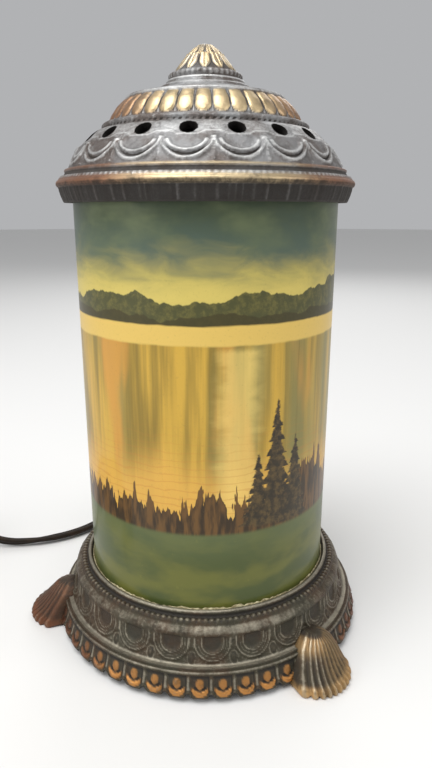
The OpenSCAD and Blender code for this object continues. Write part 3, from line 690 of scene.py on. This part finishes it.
feet_cast = cast_finish(
    "antique_feet", paint(76, 68, 52), paint(88, 64, 48), paint(168, 160, 142), paint(34, 27, 20),
    paint(198, 160, 108), paint(128, 80, 56), 48, 70,
)
feet.data.materials.append(feet_cast.material)
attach(feet, "stand")
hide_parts("base_casting")


# ---------------------------------------------------------------- screw bosses
# Three bosses under the ledge of the base casting take the screws that hold
# the deck plate.
BOSS_AZS = (45, 165, 285)
BOSS_AT = Matrix.Translation(Vector((0, -42.8, 24.75)) * MM)
BOSS_LOW_R = 4.6 * MM
BOSS_TOP_R = 4.4 * MM
BOSS_TALL = 3.5 * MM
BOSS_EDGE = 0.5 * MM
bm = bmesh.new()
for az in BOSS_AZS:
    bmesh.ops.create_cone(
        bm, cap_ends=True, segments=32, radius1=BOSS_LOW_R, radius2=BOSS_TOP_R, depth=BOSS_TALL,
        matrix=Matrix.Rotation(math.radians(az), 4, "Z") @ BOSS_AT,
    )
tops = [edge for edge in bm.edges if all(v.co.z > 26 * MM for v in edge.verts)]
bmesh.ops.bevel(
    bm, geom=tops, offset=BOSS_EDGE, offset_type="OFFSET", segments=3, profile=0.5,
    affect="EDGES", material=-1,
)
bosses = finished(bm, "screw_bosses")


def mottled(name, grain, first, second, smoothest, rougher, deep, **constants):
    """A finish that one noise varies: its colour, roughness and a bump deep millimetres."""
    made = Finish(name, **constants)
    tone = made.noise(**grain)
    made.set(
        base_color=made.mix(tone, first, second), roughness=smoothest + tone * rougher,
        normal=made.bump(tone, deep),
    )
    return made


rough_cast = mottled(
    "rough_casting", {"size": 2.2, "detail": 4, "rough": 0.65}, paint(62, 56, 52),
    paint(108, 102, 96), 0.55, 0.25, 0.3, metallic=0.6,
)
bosses.data.materials.append(rough_cast.material)
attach(bosses, "stand")
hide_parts("base_casting")


# ---------------------------------------------------------------- deck and fixings
# Pressed steel plate with six air holes, its screws, the wire yoke, and the
# nuts and washer that hold the yoke and the nipple. All are dull zinc plated.
zinc = Finish("zinc_plate", metallic=0.9)
zinc_spangle = zinc.noise(6, 3, 0.6)
zinc_scratch = zinc.noise(1.2, 2, 0.5, stretch=(1, 9, 1))
zinc.set(
    base_color=zinc.mix(zinc_spangle.step(0.3, 0.7), paint(136, 134, 128), paint(184, 182, 176)),
    roughness=0.34 + zinc_spangle * 0.2,
    normal=zinc.bump(zinc_scratch, 0.05),
)
dress(
    zinc, "deck_plate", "deck_screws", "lock_nut", "lock_washer", "pivot_yoke", "yoke_nuts",
    "switch_screw",
)


# ---------------------------------------------------------------- socket
# Drawn brass shell and cap on a threaded nipple. Inside are a fibre liner, a
# moulded body with two terminal screws, the thread's shell and a contact.
brass = Finish("dull_brass", metallic=1.0)
brass_stain = brass.noise(9, 4, 0.6)
brass_line = brass.noise(0.6, 2, 0.5, stretch=(1, 1, 12))
brass.set(
    base_color=brass.mix(brass_stain.step(0.35, 0.75), paint(196, 158, 88), paint(142, 104, 56)),
    roughness=0.26 + brass_stain * 0.22,
    normal=brass.bump(brass_line, 0.03),
)
dress(
    brass, "nipple", "socket_cap", "socket_shell", "socket_screw_shell", "socket_contact",
    "terminal_screws", "needle_holder", "pivot_thimble", "plug_blades",
)

fibre = mottled(
    "black_fibre", {"size": 1.6, "rough": 0.6}, paint(28, 24, 22), paint(56, 48, 42),
    0.75, 0.15, 0.06,
)
dress(fibre, "socket_liner")

bakelite = Finish("brown_moulding", coat_weight=0.3, coat_roughness=0.12)
swirl = bakelite.noise(9, 4, 0.6, warp=1.6)
bakelite.set(
    base_color=bakelite.mix(swirl.step(0.35, 0.7), paint(58, 32, 22), paint(86, 50, 34)),
    roughness=0.28 + bakelite.noise(3, 3) * 0.2,
    normal=bakelite.bump(bakelite.noise(1.1, 2), 0.02),
)
dress(bakelite, "socket_body", "switch_base", "switch_cover", "switch_wheel", "plug_body")

cloth = Finish("braided_cotton", sheen_weight=0.3)
_, weave_y, weave_z = cloth.axes()
braid = ((weave_y + weave_z) * 6).maths("SINE") * ((weave_y - weave_z) * 6).maths("SINE")
cloth.set(
    base_color=cloth.mix(braid.step(-0.5, 0.6), paint(74, 56, 38), paint(132, 106, 74)),
    roughness=0.9,
    normal=cloth.bump(braid * 0.5 + 0.5, 0.12),
)
dress(cloth, "socket_leads")


# ---------------------------------------------------------------- bulb
# Inside-frosted bulb with an aluminium thread, a black glass insulator and a
# soldered tip. The stem carries the filament on two wires.
frost = Finish("frosted_glass", transmission_weight=0.55, ior=1.5, coat_weight=0.6, coat_roughness=0.06)
frost_cloud = frost.noise(14, 2)
frost.set(
    base_color=frost.mix(frost_cloud, paint(236, 232, 222), paint(250, 248, 242)),
    roughness=0.38 + frost_cloud * 0.12,
)
dress(frost, "bulb_glass", "bulb_stem")

bulb_cap = mottled(
    "pressed_aluminium", {"size": 2.5, "rough": 0.6, "stretch": (1, 1, 4)},
    paint(176, 172, 160), paint(214, 210, 200), 0.28, 0.22, 0.05, metallic=1.0,
)
dress(bulb_cap, "bulb_screw_shell", "bulb_tip")

black_glass = Finish("black_glass", roughness=0.12, coat_weight=0.5)
smoke = black_glass.noise(4, 2)
black_glass.set(base_color=black_glass.mix(smoke, paint(12, 12, 14), paint(30, 30, 34)))
dress(black_glass, "bulb_insulator")

tungsten = Finish("grey_wire", metallic=1.0, roughness=0.45)
tungsten.set(base_color=tungsten.mix(tungsten.noise(1, 2), paint(96, 94, 92), paint(142, 140, 136)))
dress(tungsten, "bulb_filament")


# ---------------------------------------------------------------- needle and drum
# A steel needle in a brass holder carries the drum by a thimble. The fan and
# its bands are bare aluminium; the sleeve is amber film, printed with ripples.
needle = Finish("needle_steel", metallic=1.0)
needle_line = needle.noise(0.5, 2, 0.5, stretch=(1, 1, 0.1))
needle.set(
    base_color=needle.mix(needle_line, paint(170, 172, 178), paint(214, 216, 222)),
    roughness=0.16 + needle_line * 0.12,
)
dress(needle, "pivot_needle")

sheet = Finish("bare_aluminium", metallic=1.0)
sheet_scuff = sheet.noise(5, 4, 0.62)
sheet_roll = sheet.noise(0.9, 2, 0.5, stretch=(14, 1, 1))
sheet.set(
    base_color=sheet.mix(sheet_scuff, paint(178, 178, 174), paint(218, 218, 214)),
    roughness=0.3 + sheet_roll * 0.25,
    normal=sheet.bump(sheet_roll, 0.04),
)
dress(sheet, "drum_fan", "drum_rim", "drum_hoop")

film = Finish("rippled_film", transmission_weight=0.35, ior=1.45, coat_weight=0.3, coat_roughness=0.15)
film_x, film_y, film_z = film.axes()
film_turn = film_x.maths("ARCTAN2", film_y) * 24
wobble = (film.noise(18, 3, 0.5) - 0.5) * 3.2
ripple = (film_turn + film_z * 0.55 + wobble * 2).maths("SINE") * 0.5 + 0.5
film.set(
    base_color=film.mix(ripple.step(0.35, 0.75), paint(214, 150, 52), paint(250, 226, 150)),
    roughness=0.3 + ripple * 0.1,
    normal=film.bump(ripple, 0.05),
)
dress(film, "drum_sleeve")


# ---------------------------------------------------------------- gasket and sealing compound
# A pressed fibre ring beds the glass on the ledge. Crumbs of old putty are
# left in the gap between the glass and the bead of the base.
pressed = Finish("pressed_fibre")
pressed_fleck = pressed.noise(1.4, 4, 0.65)
pressed.set(
    base_color=pressed.mix(pressed_fleck, paint(128, 108, 82), paint(166, 148, 118)),
    roughness=0.85,
    normal=pressed.bump(pressed_fleck, 0.1),
)
dress(pressed, "glass_gasket")

PUTTY_STEPS = 720
PUTTY_FINE = 0.25
PUTTY_COARSE = 0.6
CRUMBS = ((1, 14, 3.0), (0.7, 27, 2.0), (0.5, -9, 1.6))
putty_outer = [(51.65, 28.0), (51.6, 28.9), (51.9, 29.4), (52.25, 28.9)]
putty_inner = [(52.25, 28.0)]
putty = turned("old_putty", putty_outer, putty_inner, PUTTY_FINE, PUTTY_COARSE, PUTTY_STEPS)


def putty_lumps(r, z, angle):
    lump = waves(angle, (7, 20), (11, 140), (23, 0)) + 0.7 * waves(angle, (61, 0), (97, 50), (141, 90))
    front = np.cos(np.radians(angle - 12))
    crumb = sum(tall * ridge(folded(angle, at, 1), half) for tall, at, half in CRUMBS)
    rise = smooth(z, 28.1, 28.9) * (0.5 * lump + 0.8 * front - 0.1 + 0.9 * crumb)
    return 0 * r, np.clip(rise, -0.6, 1.5), 0 * r, 0 * r


carve(putty, putty_lumps)
compound = Finish("old_putty", roughness=0.85)
compound_tone = compound.noise(1.8, 4, 0.6)
compound.set(
    base_color=compound.mix(compound_tone.step(0.35, 0.7), paint(134, 122, 88), paint(216, 206, 166)),
    normal=compound.bump(compound_tone, 0.2),
)
putty.data.materials.append(compound.material)
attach(putty, "stand")


# ---------------------------------------------------------------- picture glass
# A glass tube with fire-polished rims, printed all round with a landscape: a
# cloudy dawn over far hills, a lake full of light, reeds, pines and a meadow.
GLASS_R = 51.5
GLASS_IN = 48.5
GLASS_LOW = 26.8
GLASS_TOP = 184.0
RIM = 0.6
GLASS_STEPS = 256
GLASS_FINE = 6
GLASS_COARSE = 12
PRINT = {"specular_ior_level": 0.25, "coat_weight": 0.25, "coat_roughness": 0.07, "coat_ior": 1.5}
HILLS_Z = 135.0
SHORE_Z = 138.6
LAKE_Z = 131.6
MEADOW_Z = 64.6
SUN_AT = 14
PINES = (
    (31, 63, 112, 9), (41, 62, 97, 8), (22.5, 64, 92, 6.5), (-150, 60, 118, 10),
    (-162, 62, 98, 8), (152, 62, 104, 9),
)

glass_outer = [
    (GLASS_R - RIM, GLASS_LOW), (GLASS_R, GLASS_LOW + RIM), (GLASS_R, GLASS_TOP - RIM),
    (GLASS_R - RIM, GLASS_TOP),
]
glass_inner = [
    (GLASS_IN + RIM, GLASS_TOP), (GLASS_IN, GLASS_TOP - RIM), (GLASS_IN, GLASS_LOW + RIM),
    (GLASS_IN + RIM, GLASS_LOW),
]
glass = turned("picture_glass", glass_outer, glass_inner, GLASS_FINE, GLASS_COARSE, GLASS_STEPS)
glass.data.set_sharp_from_angle(angle=math.radians(30))

picture = Finish("printed_glass", **PRINT)
px, py, pz = picture.axes()
around = px.maths("ARCTAN2", py * -1) * (180 / math.pi)
cloud = picture.noise(30, 4, 0.55, stretch=(1, 1, 1.8))
fleck = picture.noise(2.6, 4, 0.7)
wisp = picture.noise(16, 3, 0.55, stretch=(1, 1, 2.6), warp=0.6)

# sky: grey-green cloud, clearing to a warm light over the hills
sky = picture.mix(cloud.step(0.36, 0.66), paint(60, 72, 52), paint(96, 106, 76))
sky = picture.mix((pz + cloud * 26).step(190, 172), sky, paint(80, 96, 86))
sky = picture.mix((pz + (wisp - 0.5) * 16).step(167, 150), sky, paint(180, 166, 90))
sky = picture.mix((pz + (wisp - 0.5) * 10).step(157, 148), sky, paint(208, 188, 100))

# far hills with a ragged top, and a nearer dark shore
rolling = picture.noise(38, 5, 0.55, stretch=(1, 1, 0))
ragged = picture.noise(3, 2, 0.6, stretch=(1, 1, 0))
far = (pz - (rolling * 26 + ragged * 2)).step(HILLS_Z + 0.6, HILLS_Z)
hill = picture.mix(fleck.step(0.4, 0.7), paint(74, 74, 40), paint(104, 98, 50))
scene = picture.mix(far, sky, hill)
near_line = picture.noise(24, 4, 0.6, stretch=(1, 1, 0)) * 13
near = (pz - near_line).step(HILLS_Z + 1.2, HILLS_Z + 0.6)
scene = picture.mix(near, scene, picture.mix(fleck, paint(50, 48, 24), paint(78, 70, 32)))

# a bright misty shore, then the lake, streaked by the light that it mirrors
shore = (pz + (wisp - 0.5) * 1.5).step(SHORE_Z + 0.8, SHORE_Z)
scene = picture.mix(shore, scene, paint(220, 186, 96))
streak = picture.noise(7, 4, 0.6, stretch=(1, 1, 0.05))
broad = picture.noise(26, 3, 0.5, stretch=(1, 1, 0.12))
lake = picture.mix(streak.step(0.36, 0.62), paint(140, 116, 46), paint(204, 164, 64))
lake = picture.mix(broad.step(0.5, 0.64) * 0.75, lake, paint(136, 130, 76))
glow = picture.noise(20, 3, 0.5, stretch=(1, 1, 0.2))
lake = picture.mix(glow.step(0.55, 0.68) * 0.7, lake, paint(214, 150, 60))
lake = picture.mix(streak.step(0.34, 0.26) * 0.6, lake, paint(112, 98, 40))
lake = picture.mix((pz + (broad - 0.5) * 30).step(96, 76) * 0.85, lake, paint(222, 172, 78))
scene = picture.mix((pz + (wisp - 0.5) * 1.2).step(LAKE_Z + 1, LAKE_Z), scene, lake)

# the sun's own path on the water, and thin level ripples across it
path = abs(around - SUN_AT + (wisp - 0.5) * 9).step(12, 3) * (pz + fleck * 2).step(133, 130)
scene = picture.mix(path * (0.3 + streak * 0.5) * pz.step(60, 78), scene, paint(242, 212, 122))
ripples = (pz * 2.1 + (wisp - 0.5) * 9).maths("SINE").step(0.72, 1.0) * pz.step(112, 74)
scene = picture.mix(ripples * 0.3, scene, paint(190, 118, 52))

# meadow and still water in the foreground
tufts = picture.noise(22, 3, 0.5, stretch=(1, 1, 2.2))
green = picture.mix(tufts.step(0.35, 0.65), paint(74, 84, 42), paint(102, 104, 46))
green = picture.mix((pz + (cloud - 0.5) * 18).step(44, 66) * 0.8, green, paint(94, 104, 68))
green = picture.mix(fleck.step(0.62, 0.8) * 0.35, green, paint(134, 130, 60))
scene = picture.mix((pz + (wisp - 0.5) * 4).step(MEADOW_Z + 1, MEADOW_Z), scene, green)

# clumps of reeds on the near bank, and pines at the right and behind
blades = picture.noise(3.2, 3, 0.65, stretch=(1, 1, 0.16))
bank = picture.noise(30, 2, 0.5, stretch=(1, 1, 0))
reeds = (pz - blades * 30 - bank.step(0.42, 0.62) * 12).step(56.5, 55.5) * pz.step(60, 62)
reed_tone = picture.mix(blades.step(0.4, 0.6), paint(54, 40, 22), paint(104, 74, 36))
scene = picture.mix(reeds, scene, reed_tone)
pine_tone = picture.mix(fleck.step(0.4, 0.65), paint(48, 40, 26), paint(92, 74, 42))
for pine_at, pine_low, pine_high, pine_wide in PINES:
    up = ((pz - pine_low) / (pine_high - pine_low)).clamped()
    layers = (up * 9).maths("FRACT")
    taper = (1 - up) * (0.62 + (1 - layers) * 0.5) * pine_wide
    needles = (abs(around - pine_at) * 0.9 + (fleck - 0.5) * 3.4 - taper).step(0.5, -0.4)
    pine = needles * pz.step(pine_high, pine_high - 1) * pz.step(pine_low - 1, pine_low + 0.5)
    scene = picture.mix(pine, scene, pine_tone)

# specks of age over the whole print
age = picture.noise(0.9, 3, 0.7)
scene = picture.mix((age - 0.5).step(0.05, 0.3) * 0.2, scene, paint(92, 86, 58))
picture.set(
    base_color=scene,
    roughness=0.42 + (age - 0.5) * 0.1,
    normal=picture.bump(picture.noise(34, 1, 0.4), 0.12),
)
glass.data.materials.append(picture.material)
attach(glass, "glass")
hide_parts("glass_cylinder")


# ---------------------------------------------------------------- cap casting
# One casting: scored skirt, gilt torus, a dome with eighteen swags and vent
# holes, a rope moulding, thirty-six eggs, and a nearly flat roof round the bud.
CAP_STEPS = 640
CAP_FINE = 0.56
CAP_COARSE = 4.0
CAP_SWAGS = 18
CAP_PHASE = 14.2
EGGS = 36
VENT_R = 44.6
VENT_Z = 201.95
VENT_D = 5.8
VENT_TILT = 45
DRILL_LONG = 16
SKIRT_TOP_Z = 184.0
DOTS_Z = 187.7
DOTS = 160
ROPE_Z = 205
ROPE_SLOTS = 112
EGG_LOW_Z = 207.3
EGG_TALL = 7.8
dome_z = (190.4, 192.6, 195, 197.2, 199.2, 201.1, 202.8, 204, 205)
dome_up = (0, 2.7, 5.4, 8, 10.6, 13.3, 15.8, 17.9, 20.5)

cap_outer = [
    (52.3, 179.0), (54.8, 179.0), (55.3, 179.6), (56.0, 181.4), (56.5, 183.2), (56.6, 184.0),
    *arc(55.9, 185.6, 1.35, -60, 70, 8), (55.9, 187.4), (55.5, 188.1), (54.7, 188.8), (54.1, 189.6),
    *arc(53.4, 190.2, 0.65, 0, 110, 5), (52.6, 190.9), (51.6, 192.6), (50.2, 195.0), (48.9, 197.2),
    (47.3, 199.1), (45.4, 201.0), (43.6, 202.7), (41.9, 203.9), (40.4, 204.5), (39.4, 204.7),
    *arc(38.2, 205.7, 1.25, 20, 130, 6), (36.6, 206.9), (36.2, 207.8), (35.3, 209.8), (33.6, 212.2),
    (31.4, 214.2), (30.2, 215.1), *arc(29.6, 215.8, 0.7, 0, 120, 5), (28.6, 216.2), (27.1, 217.0),
    (24.0, 217.7), (20.5, 218.5), (17.6, 219.2), (12.0, 219.4),
]
cap_inner = [
    (12.0, 217.0), (15.0, 216.4), (26.6, 214.0), (31.2, 210.4), (33.8, 205.0), (38.4, 202.9),
    (42.4, 199.9), (46.0, 196.0), (48.0, 191.8), (48.8, 189.0), (48.8, 184.0), (52.3, 184.0),
]


def cap_carving(r, z, angle):
    gilt = np.zeros_like(r)

    # skirt: dark, scored with upright marks of uneven depth
    on_skirt = smooth(z, SKIRT_TOP_Z + 0.6, SKIRT_TOP_Z)
    scores = waves(angle, (89, 0), (137, 70), (173, 30), (59, 200))
    height = on_skirt * (0.2 * scores - 0.25)
    wear_and_shading = on_skirt * (0.35 * scores - 0.85)
    gilt -= 0.55 * on_skirt * smooth(scores, 0.9, 0.1)

    # torus: rubbed dull gilt, with a band of fine dots along its upper edge
    on_torus = smooth(z, SKIRT_TOP_Z, SKIRT_TOP_Z + 0.6) * smooth(z, 188.5, 187.8)
    dots = ridge(z - DOTS_Z, 0.75) * ridge(folded(angle, 0, DOTS), 0.85)
    height += on_torus * (0.1 + 0.06 * waves(angle, (9, 0), (14, 50), (23, 110))) + 0.2 * dots
    gilt += on_torus * smooth(z, DOTS_Z, 187.0) * 0.9
    wear_and_shading += 0.6 * dots + 0.2 * ridge(z - DOTS_Z, 0.8)
    wear_and_shading -= on_torus * (0.6 - 0.6 * smooth(z, 185.4, 186.3))

    # groove above it, pitted dark, and a bright arris under the swags
    in_groove = smooth(z, 188.2, 188.6) * smooth(z, 190.2, 189.8) * smooth(r, 52.8, 53.4)
    height -= 0.35 * in_groove
    wear_and_shading -= 0.7 * in_groove
    arris = ridge(z - 190.6, 0.6) * smooth(r, 51.7, 52.6)
    gilt += 0.7 * arris
    wear_and_shading += 0.25 * arris

    # dome: a thin inner garland and a broad outer one hang below each vent hole
    off = np.radians(folded(angle, CAP_PHASE, CAP_SWAGS)) * r
    up = np.interp(z, dome_z, dome_up)
    here = smooth(up, 0.1, 0.9) * smooth(up, 19.2, 18.4) * (r > 39.5)
    hung = smooth(up, 10.6, 9.0)
    swing = np.hypot(off / 6.3, (up - 9.2) / 4.4)
    below = up < 9.2
    inner = ridge(swing - 1.0, 0.15) * hung * below
    wide_swing = np.hypot(off / 8.0, (up - 10.0) / 8.0)
    outer = ridge(wide_swing - 1.0, 0.11) * hung
    between = smooth(swing, 1.1, 1.22) * smooth(wide_swing, 0.95, 0.86) * smooth(up, 9.4, 7.6)
    well = smooth(swing, 0.9, 0.78) * smooth(up, 10.8, 9.4)
    beyond = smooth(wide_swing, 1.08, 1.16) * smooth(up, 9.0, 7.0)
    edge = math.pi * r / CAP_SWAGS - abs(off)
    leaf = ridge(edge, 0.35 + 0.16 * np.clip(up - 2, 0, 7))
    leaf = leaf * smooth(up, 2.2, 3.4) * smooth(up, 11.2, 8.6)
    leaf = leaf * (0.75 + 0.25 * waves(angle, (240, 0)) + 0.25 * np.sin(up * 5))
    bead = ridge(np.hypot(edge, up - 1.7), 0.8)
    hem = ridge(up - 11.0 - 1.6 * smooth(abs(off), 3.0, 6.0), 0.42)
    hem = hem * smooth(np.hypot(off, up - 14.5), 2.6, 3.0)
    height += here * (0.5 * inner + 0.62 * outer - 0.4 * between - 0.3 * well - 0.25 * beyond)
    height += here * (0.4 * leaf + 0.5 * bead + 0.12 * hem)
    wear_and_shading += here * (0.12 + 0.7 * inner + 0.65 * outer - 0.6 * between - 0.2 * well - 0.2 * beyond)
    # painted highlight: the dome above the garlands is made brighter, as where it faces the lamp
    # overhead
    wear_and_shading += here * (0.55 * leaf + 0.6 * bead + 0.5 * hem + 0.35 * smooth(up, 9.5, 13.5))
    # painted shadow: a dark line just below the inner garland, where it shades the dome
    shade = ridge(swing - 1.24, 0.1) * hung * below
    height -= here * 0.25 * shade
    wear_and_shading -= here * 0.8 * shade

    # rope moulding: slanting slots along the lower side of a ring
    slot = abs(folded(angle + 5.0 * (z - ROPE_Z), 0, ROPE_SLOTS)) / (180 / ROPE_SLOTS)
    low_side = smooth(z, 204.5, 204.8) * smooth(z, 205.8, 205.4) * smooth(r, 38.4, 38.8) * (r < 40.2)
    cut = low_side * smooth(slot, 0.6, 0.4) * (0.75 + 0.35 * waves(angle, (5, 40), (13, 0), (31, 70)))
    height -= 0.3 * cut
    wear_and_shading -= 1.1 * cut
    crown = smooth(z, 205.2, 205.8) * smooth(z, 207.2, 206.9) * smooth(r, 37.2, 37.8)
    height += 0.08 * crown * (1 - 2 * slot**2)
    wear_and_shading += crown * (0.3 - 0.3 * slot**2)

    # eggs: long lobes with round lower ends, thin grooves and darts between
    off = abs(folded(angle, 0, EGGS)) / (180 / EGGS)
    up = (z - EGG_LOW_Z) / EGG_TALL
    on_eggs = smooth(up, 0.0, 0.05) * smooth(up, 1.02, 0.96) * smooth(r, 37.4, 36.9)
    plump = 0.92 * np.sqrt(np.clip(1 - (1 - np.clip((up - 0.03) / 0.3, 0, 1)) ** 2, 0, 1))
    plump = plump * (1 - 0.1 * smooth(up, 0.6, 1.0))
    inside = plump - off
    egg = np.sqrt(np.clip(1 - (off / np.maximum(plump, 0.05)) ** 2, 0, 1))
    dart = ridge(off - 1, 0.1) * smooth(up, 0.45, 0.2)
    height += on_eggs * (0.8 * egg * smooth(inside, 0, 0.12) - 0.4 + 0.3 * dart)
    wear_and_shading += on_eggs * (0.7 * dart - 0.75 * smooth(abs(inside + 0.02), 0.12, 0.02) + 0.15 * egg)
    gilt += on_eggs * smooth(inside, 0.0, 0.1)

    # thin rubbed rings above the eggs and round the roof
    wear_and_shading += 0.75 * ridge(z - 215.9, 0.7) * smooth(r, 28.6, 29.2)
    wear_and_shading -= 0.9 * ridge(r - 28.0, 0.9) * smooth(z, 215.5, 216)
    wear_and_shading += 0.25 * smooth(r, 27, 24) + 0.5 * ridge(r - 18.4, 0.9)
    return height, 0 * r, wear_and_shading, np.clip(gilt, -1, 1)


cap = turned("cap_ring", cap_outer, cap_inner, CAP_FINE, CAP_COARSE, CAP_STEPS)
carve(cap, cap_carving)

# the eighteen vent holes are drilled square to the dome
bm = bmesh.new()
for i in range(CAP_SWAGS):
    around_axis = Matrix.Rotation(math.radians(CAP_PHASE + i * 360 / CAP_SWAGS), 4, "Z")
    lean = Matrix.Rotation(math.radians(VENT_TILT), 4, "X")
    drill = around_axis @ Matrix.Translation(Vector((0, -VENT_R, VENT_Z)) * MM) @ lean
    bmesh.ops.create_cone(
        bm, cap_ends=True, segments=40, radius1=VENT_D / 2 * MM, radius2=VENT_D / 2 * MM,
        depth=DRILL_LONG * MM, matrix=drill,
    )
drills = finished(bm, "drills")
cut = cap.modifiers.new("vents", "BOOLEAN")
cut.operation = "DIFFERENCE"
cut.object = drills
cut.solver = "MANIFOLD"
bpy.context.view_layer.update()
evaluated = cap.evaluated_get(bpy.context.evaluated_depsgraph_get())
drilled = bpy.data.meshes.new_from_object(evaluated)
cap.modifiers.clear()
cap.data = drilled
bpy.data.objects.remove(drills)

# their walls are marked as bored, so that the finish paints them black as the shade inside the holes
x, y, z = (read(drilled, "co") / MM).T
turned_by = np.radians(folded(np.degrees(np.arctan2(x, -y)), CAP_PHASE, CAP_SWAGS))
out = np.hypot(x, y)
across = out * np.sin(turned_by)
tilt = math.radians(VENT_TILT)
aslant = (out * np.cos(turned_by) - VENT_R) * math.cos(tilt) - (z - VENT_Z) * math.sin(tilt)
bored = (np.hypot(across, aslant) < VENT_D / 2 + 0.02) & (z > 196) & (out > 36)
for name in ("wear_and_shading", "gilt"):
    values = np.empty(len(out), dtype=np.float32)
    drilled.attributes[name].data.foreach_get("value", values)
    values[bored] = -1
    drilled.attributes[name].data.foreach_set("value", values)

# the cap's pale grey and near-white tones are partly painted reflection: the same plate as the base,
# lightened where the upward dome mirrors the overhead lamp
cap_cast = cast_finish(
    "antique_cap", paint(140, 140, 140), paint(98, 89, 84), paint(214, 214, 212), paint(38, 31, 24),
    paint(208, 186, 146), paint(158, 112, 84), 10, 42,
)
cap.data.materials.clear()
cap.data.materials.append(cap_cast.material)
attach(cap, "cap")
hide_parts("cap_casting")


# ---------------------------------------------------------------- bud of the cap
# Two rings and a rope moulding carry a bud of two rows of leaves, whose
# points hang down. It is cast with the cap.
BUD_STEPS = 320
BUD_FINE = 0.38
BUD_COARSE = 3.0
ROPE_AT = (13.0, 224.0)
ROPE_TWISTS = 40
LEAVES = 12
LEAF_ROWS = ((225.4, 231.2, 0, 0.6), (230.6, 235.4, 180 / LEAVES, 0.45))
bud_outer = [
    (18.6, 218.6), (17.6, 219.6), *arc(16.9, 219.9, 0.5, 0, 120, 4), (15.9, 220.7), (14.9, 221.4),
    *arc(14.3, 222.1, 0.5, 0, 120, 4), (13.6, 222.9), *arc(*ROPE_AT, 0.95, -40, 100, 6),
    (12.0, 225.1), (11.3, 225.7), (10.4, 226.6), (9.0, 228.3), (7.6, 230.0), (6.1, 231.7),
    (4.5, 233.2), (2.6, 234.5), (1.0, 235.15), (0.0, 235.3),
]
bud_inner = [(0.0, 230.0), (8.0, 224.0), (12.5, 219.0)]


def bud_carving(r, z, angle):
    # rings below, and a rope moulding of twisted strands
    twist = folded(angle, 0, ROPE_TWISTS) / (180 / ROPE_TWISTS)
    on_rope = ridge(np.hypot(r - ROPE_AT[0], z - ROPE_AT[1]), 1.4)
    height = on_rope * (0.4 * (1 - twist**2) - 0.25)
    wear_and_shading = 0.15 + on_rope * (0.7 - 1.3 * twist**2)
    wear_and_shading += 0.8 * ridge(z - 222.3, 0.5) - 0.7 * ridge(z - 222.9, 0.35) + 0.6 * ridge(z - 220.4, 0.5)
    gilt = 0 * r

    # leaves: a dark edge and a dark rib each, those of the upper row between the lower ones
    for low, high, phase, lift in LEAF_ROWS:
        off = abs(folded(angle, phase, LEAVES)) / (180 / LEAVES)
        up = (z - low) / (high - low)
        wide = np.clip(up * 2.6, 0, 1) ** 0.5 * 0.92
        inside = np.where((up > 0) & (up < 1), wide - off, -1)
        leaf = smooth(inside, 0.0, 0.3)
        height += lift * leaf * (1 - 0.35 * ridge(off, 0.16))
        if low < 230:
            wear_and_shading -= 0.6 * smooth(inside, 0.05, -0.1) * smooth(up, -0.06, 0.05) * smooth(up, 0.85, 0.6)
        gilt = np.maximum(gilt, leaf)
        wear_and_shading += 0.35 * leaf - 0.6 * ridge(off, 0.12) * leaf
        wear_and_shading -= 0.8 * ridge(inside - 0.02, 0.1) * (up < 0.9)
    return height * smooth(r, 0.4, 2.5), 0 * r, np.clip(wear_and_shading, -1, 1), gilt * smooth(r, 0.4, 2.0)


bud = turned("cap_bud", bud_outer, bud_inner, BUD_FINE, BUD_COARSE, BUD_STEPS)
carve(bud, bud_carving)
bud.data.materials.append(cap_cast.material)
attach(bud, "cap")
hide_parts("cap_casting")


# ---------------------------------------------------------------- coil tie
# A flat black strap is closed round the spare turns of the cord and holds them
# together.
strap = mottled(
    "black_strap", {"size": 0.8, "detail": 2, "rough": 0.5, "stretch": (6, 1, 1)},
    paint(24, 24, 26), paint(48, 48, 50), 0.55, 0.2, 0.06,
)
dress(strap, "cord_tie")
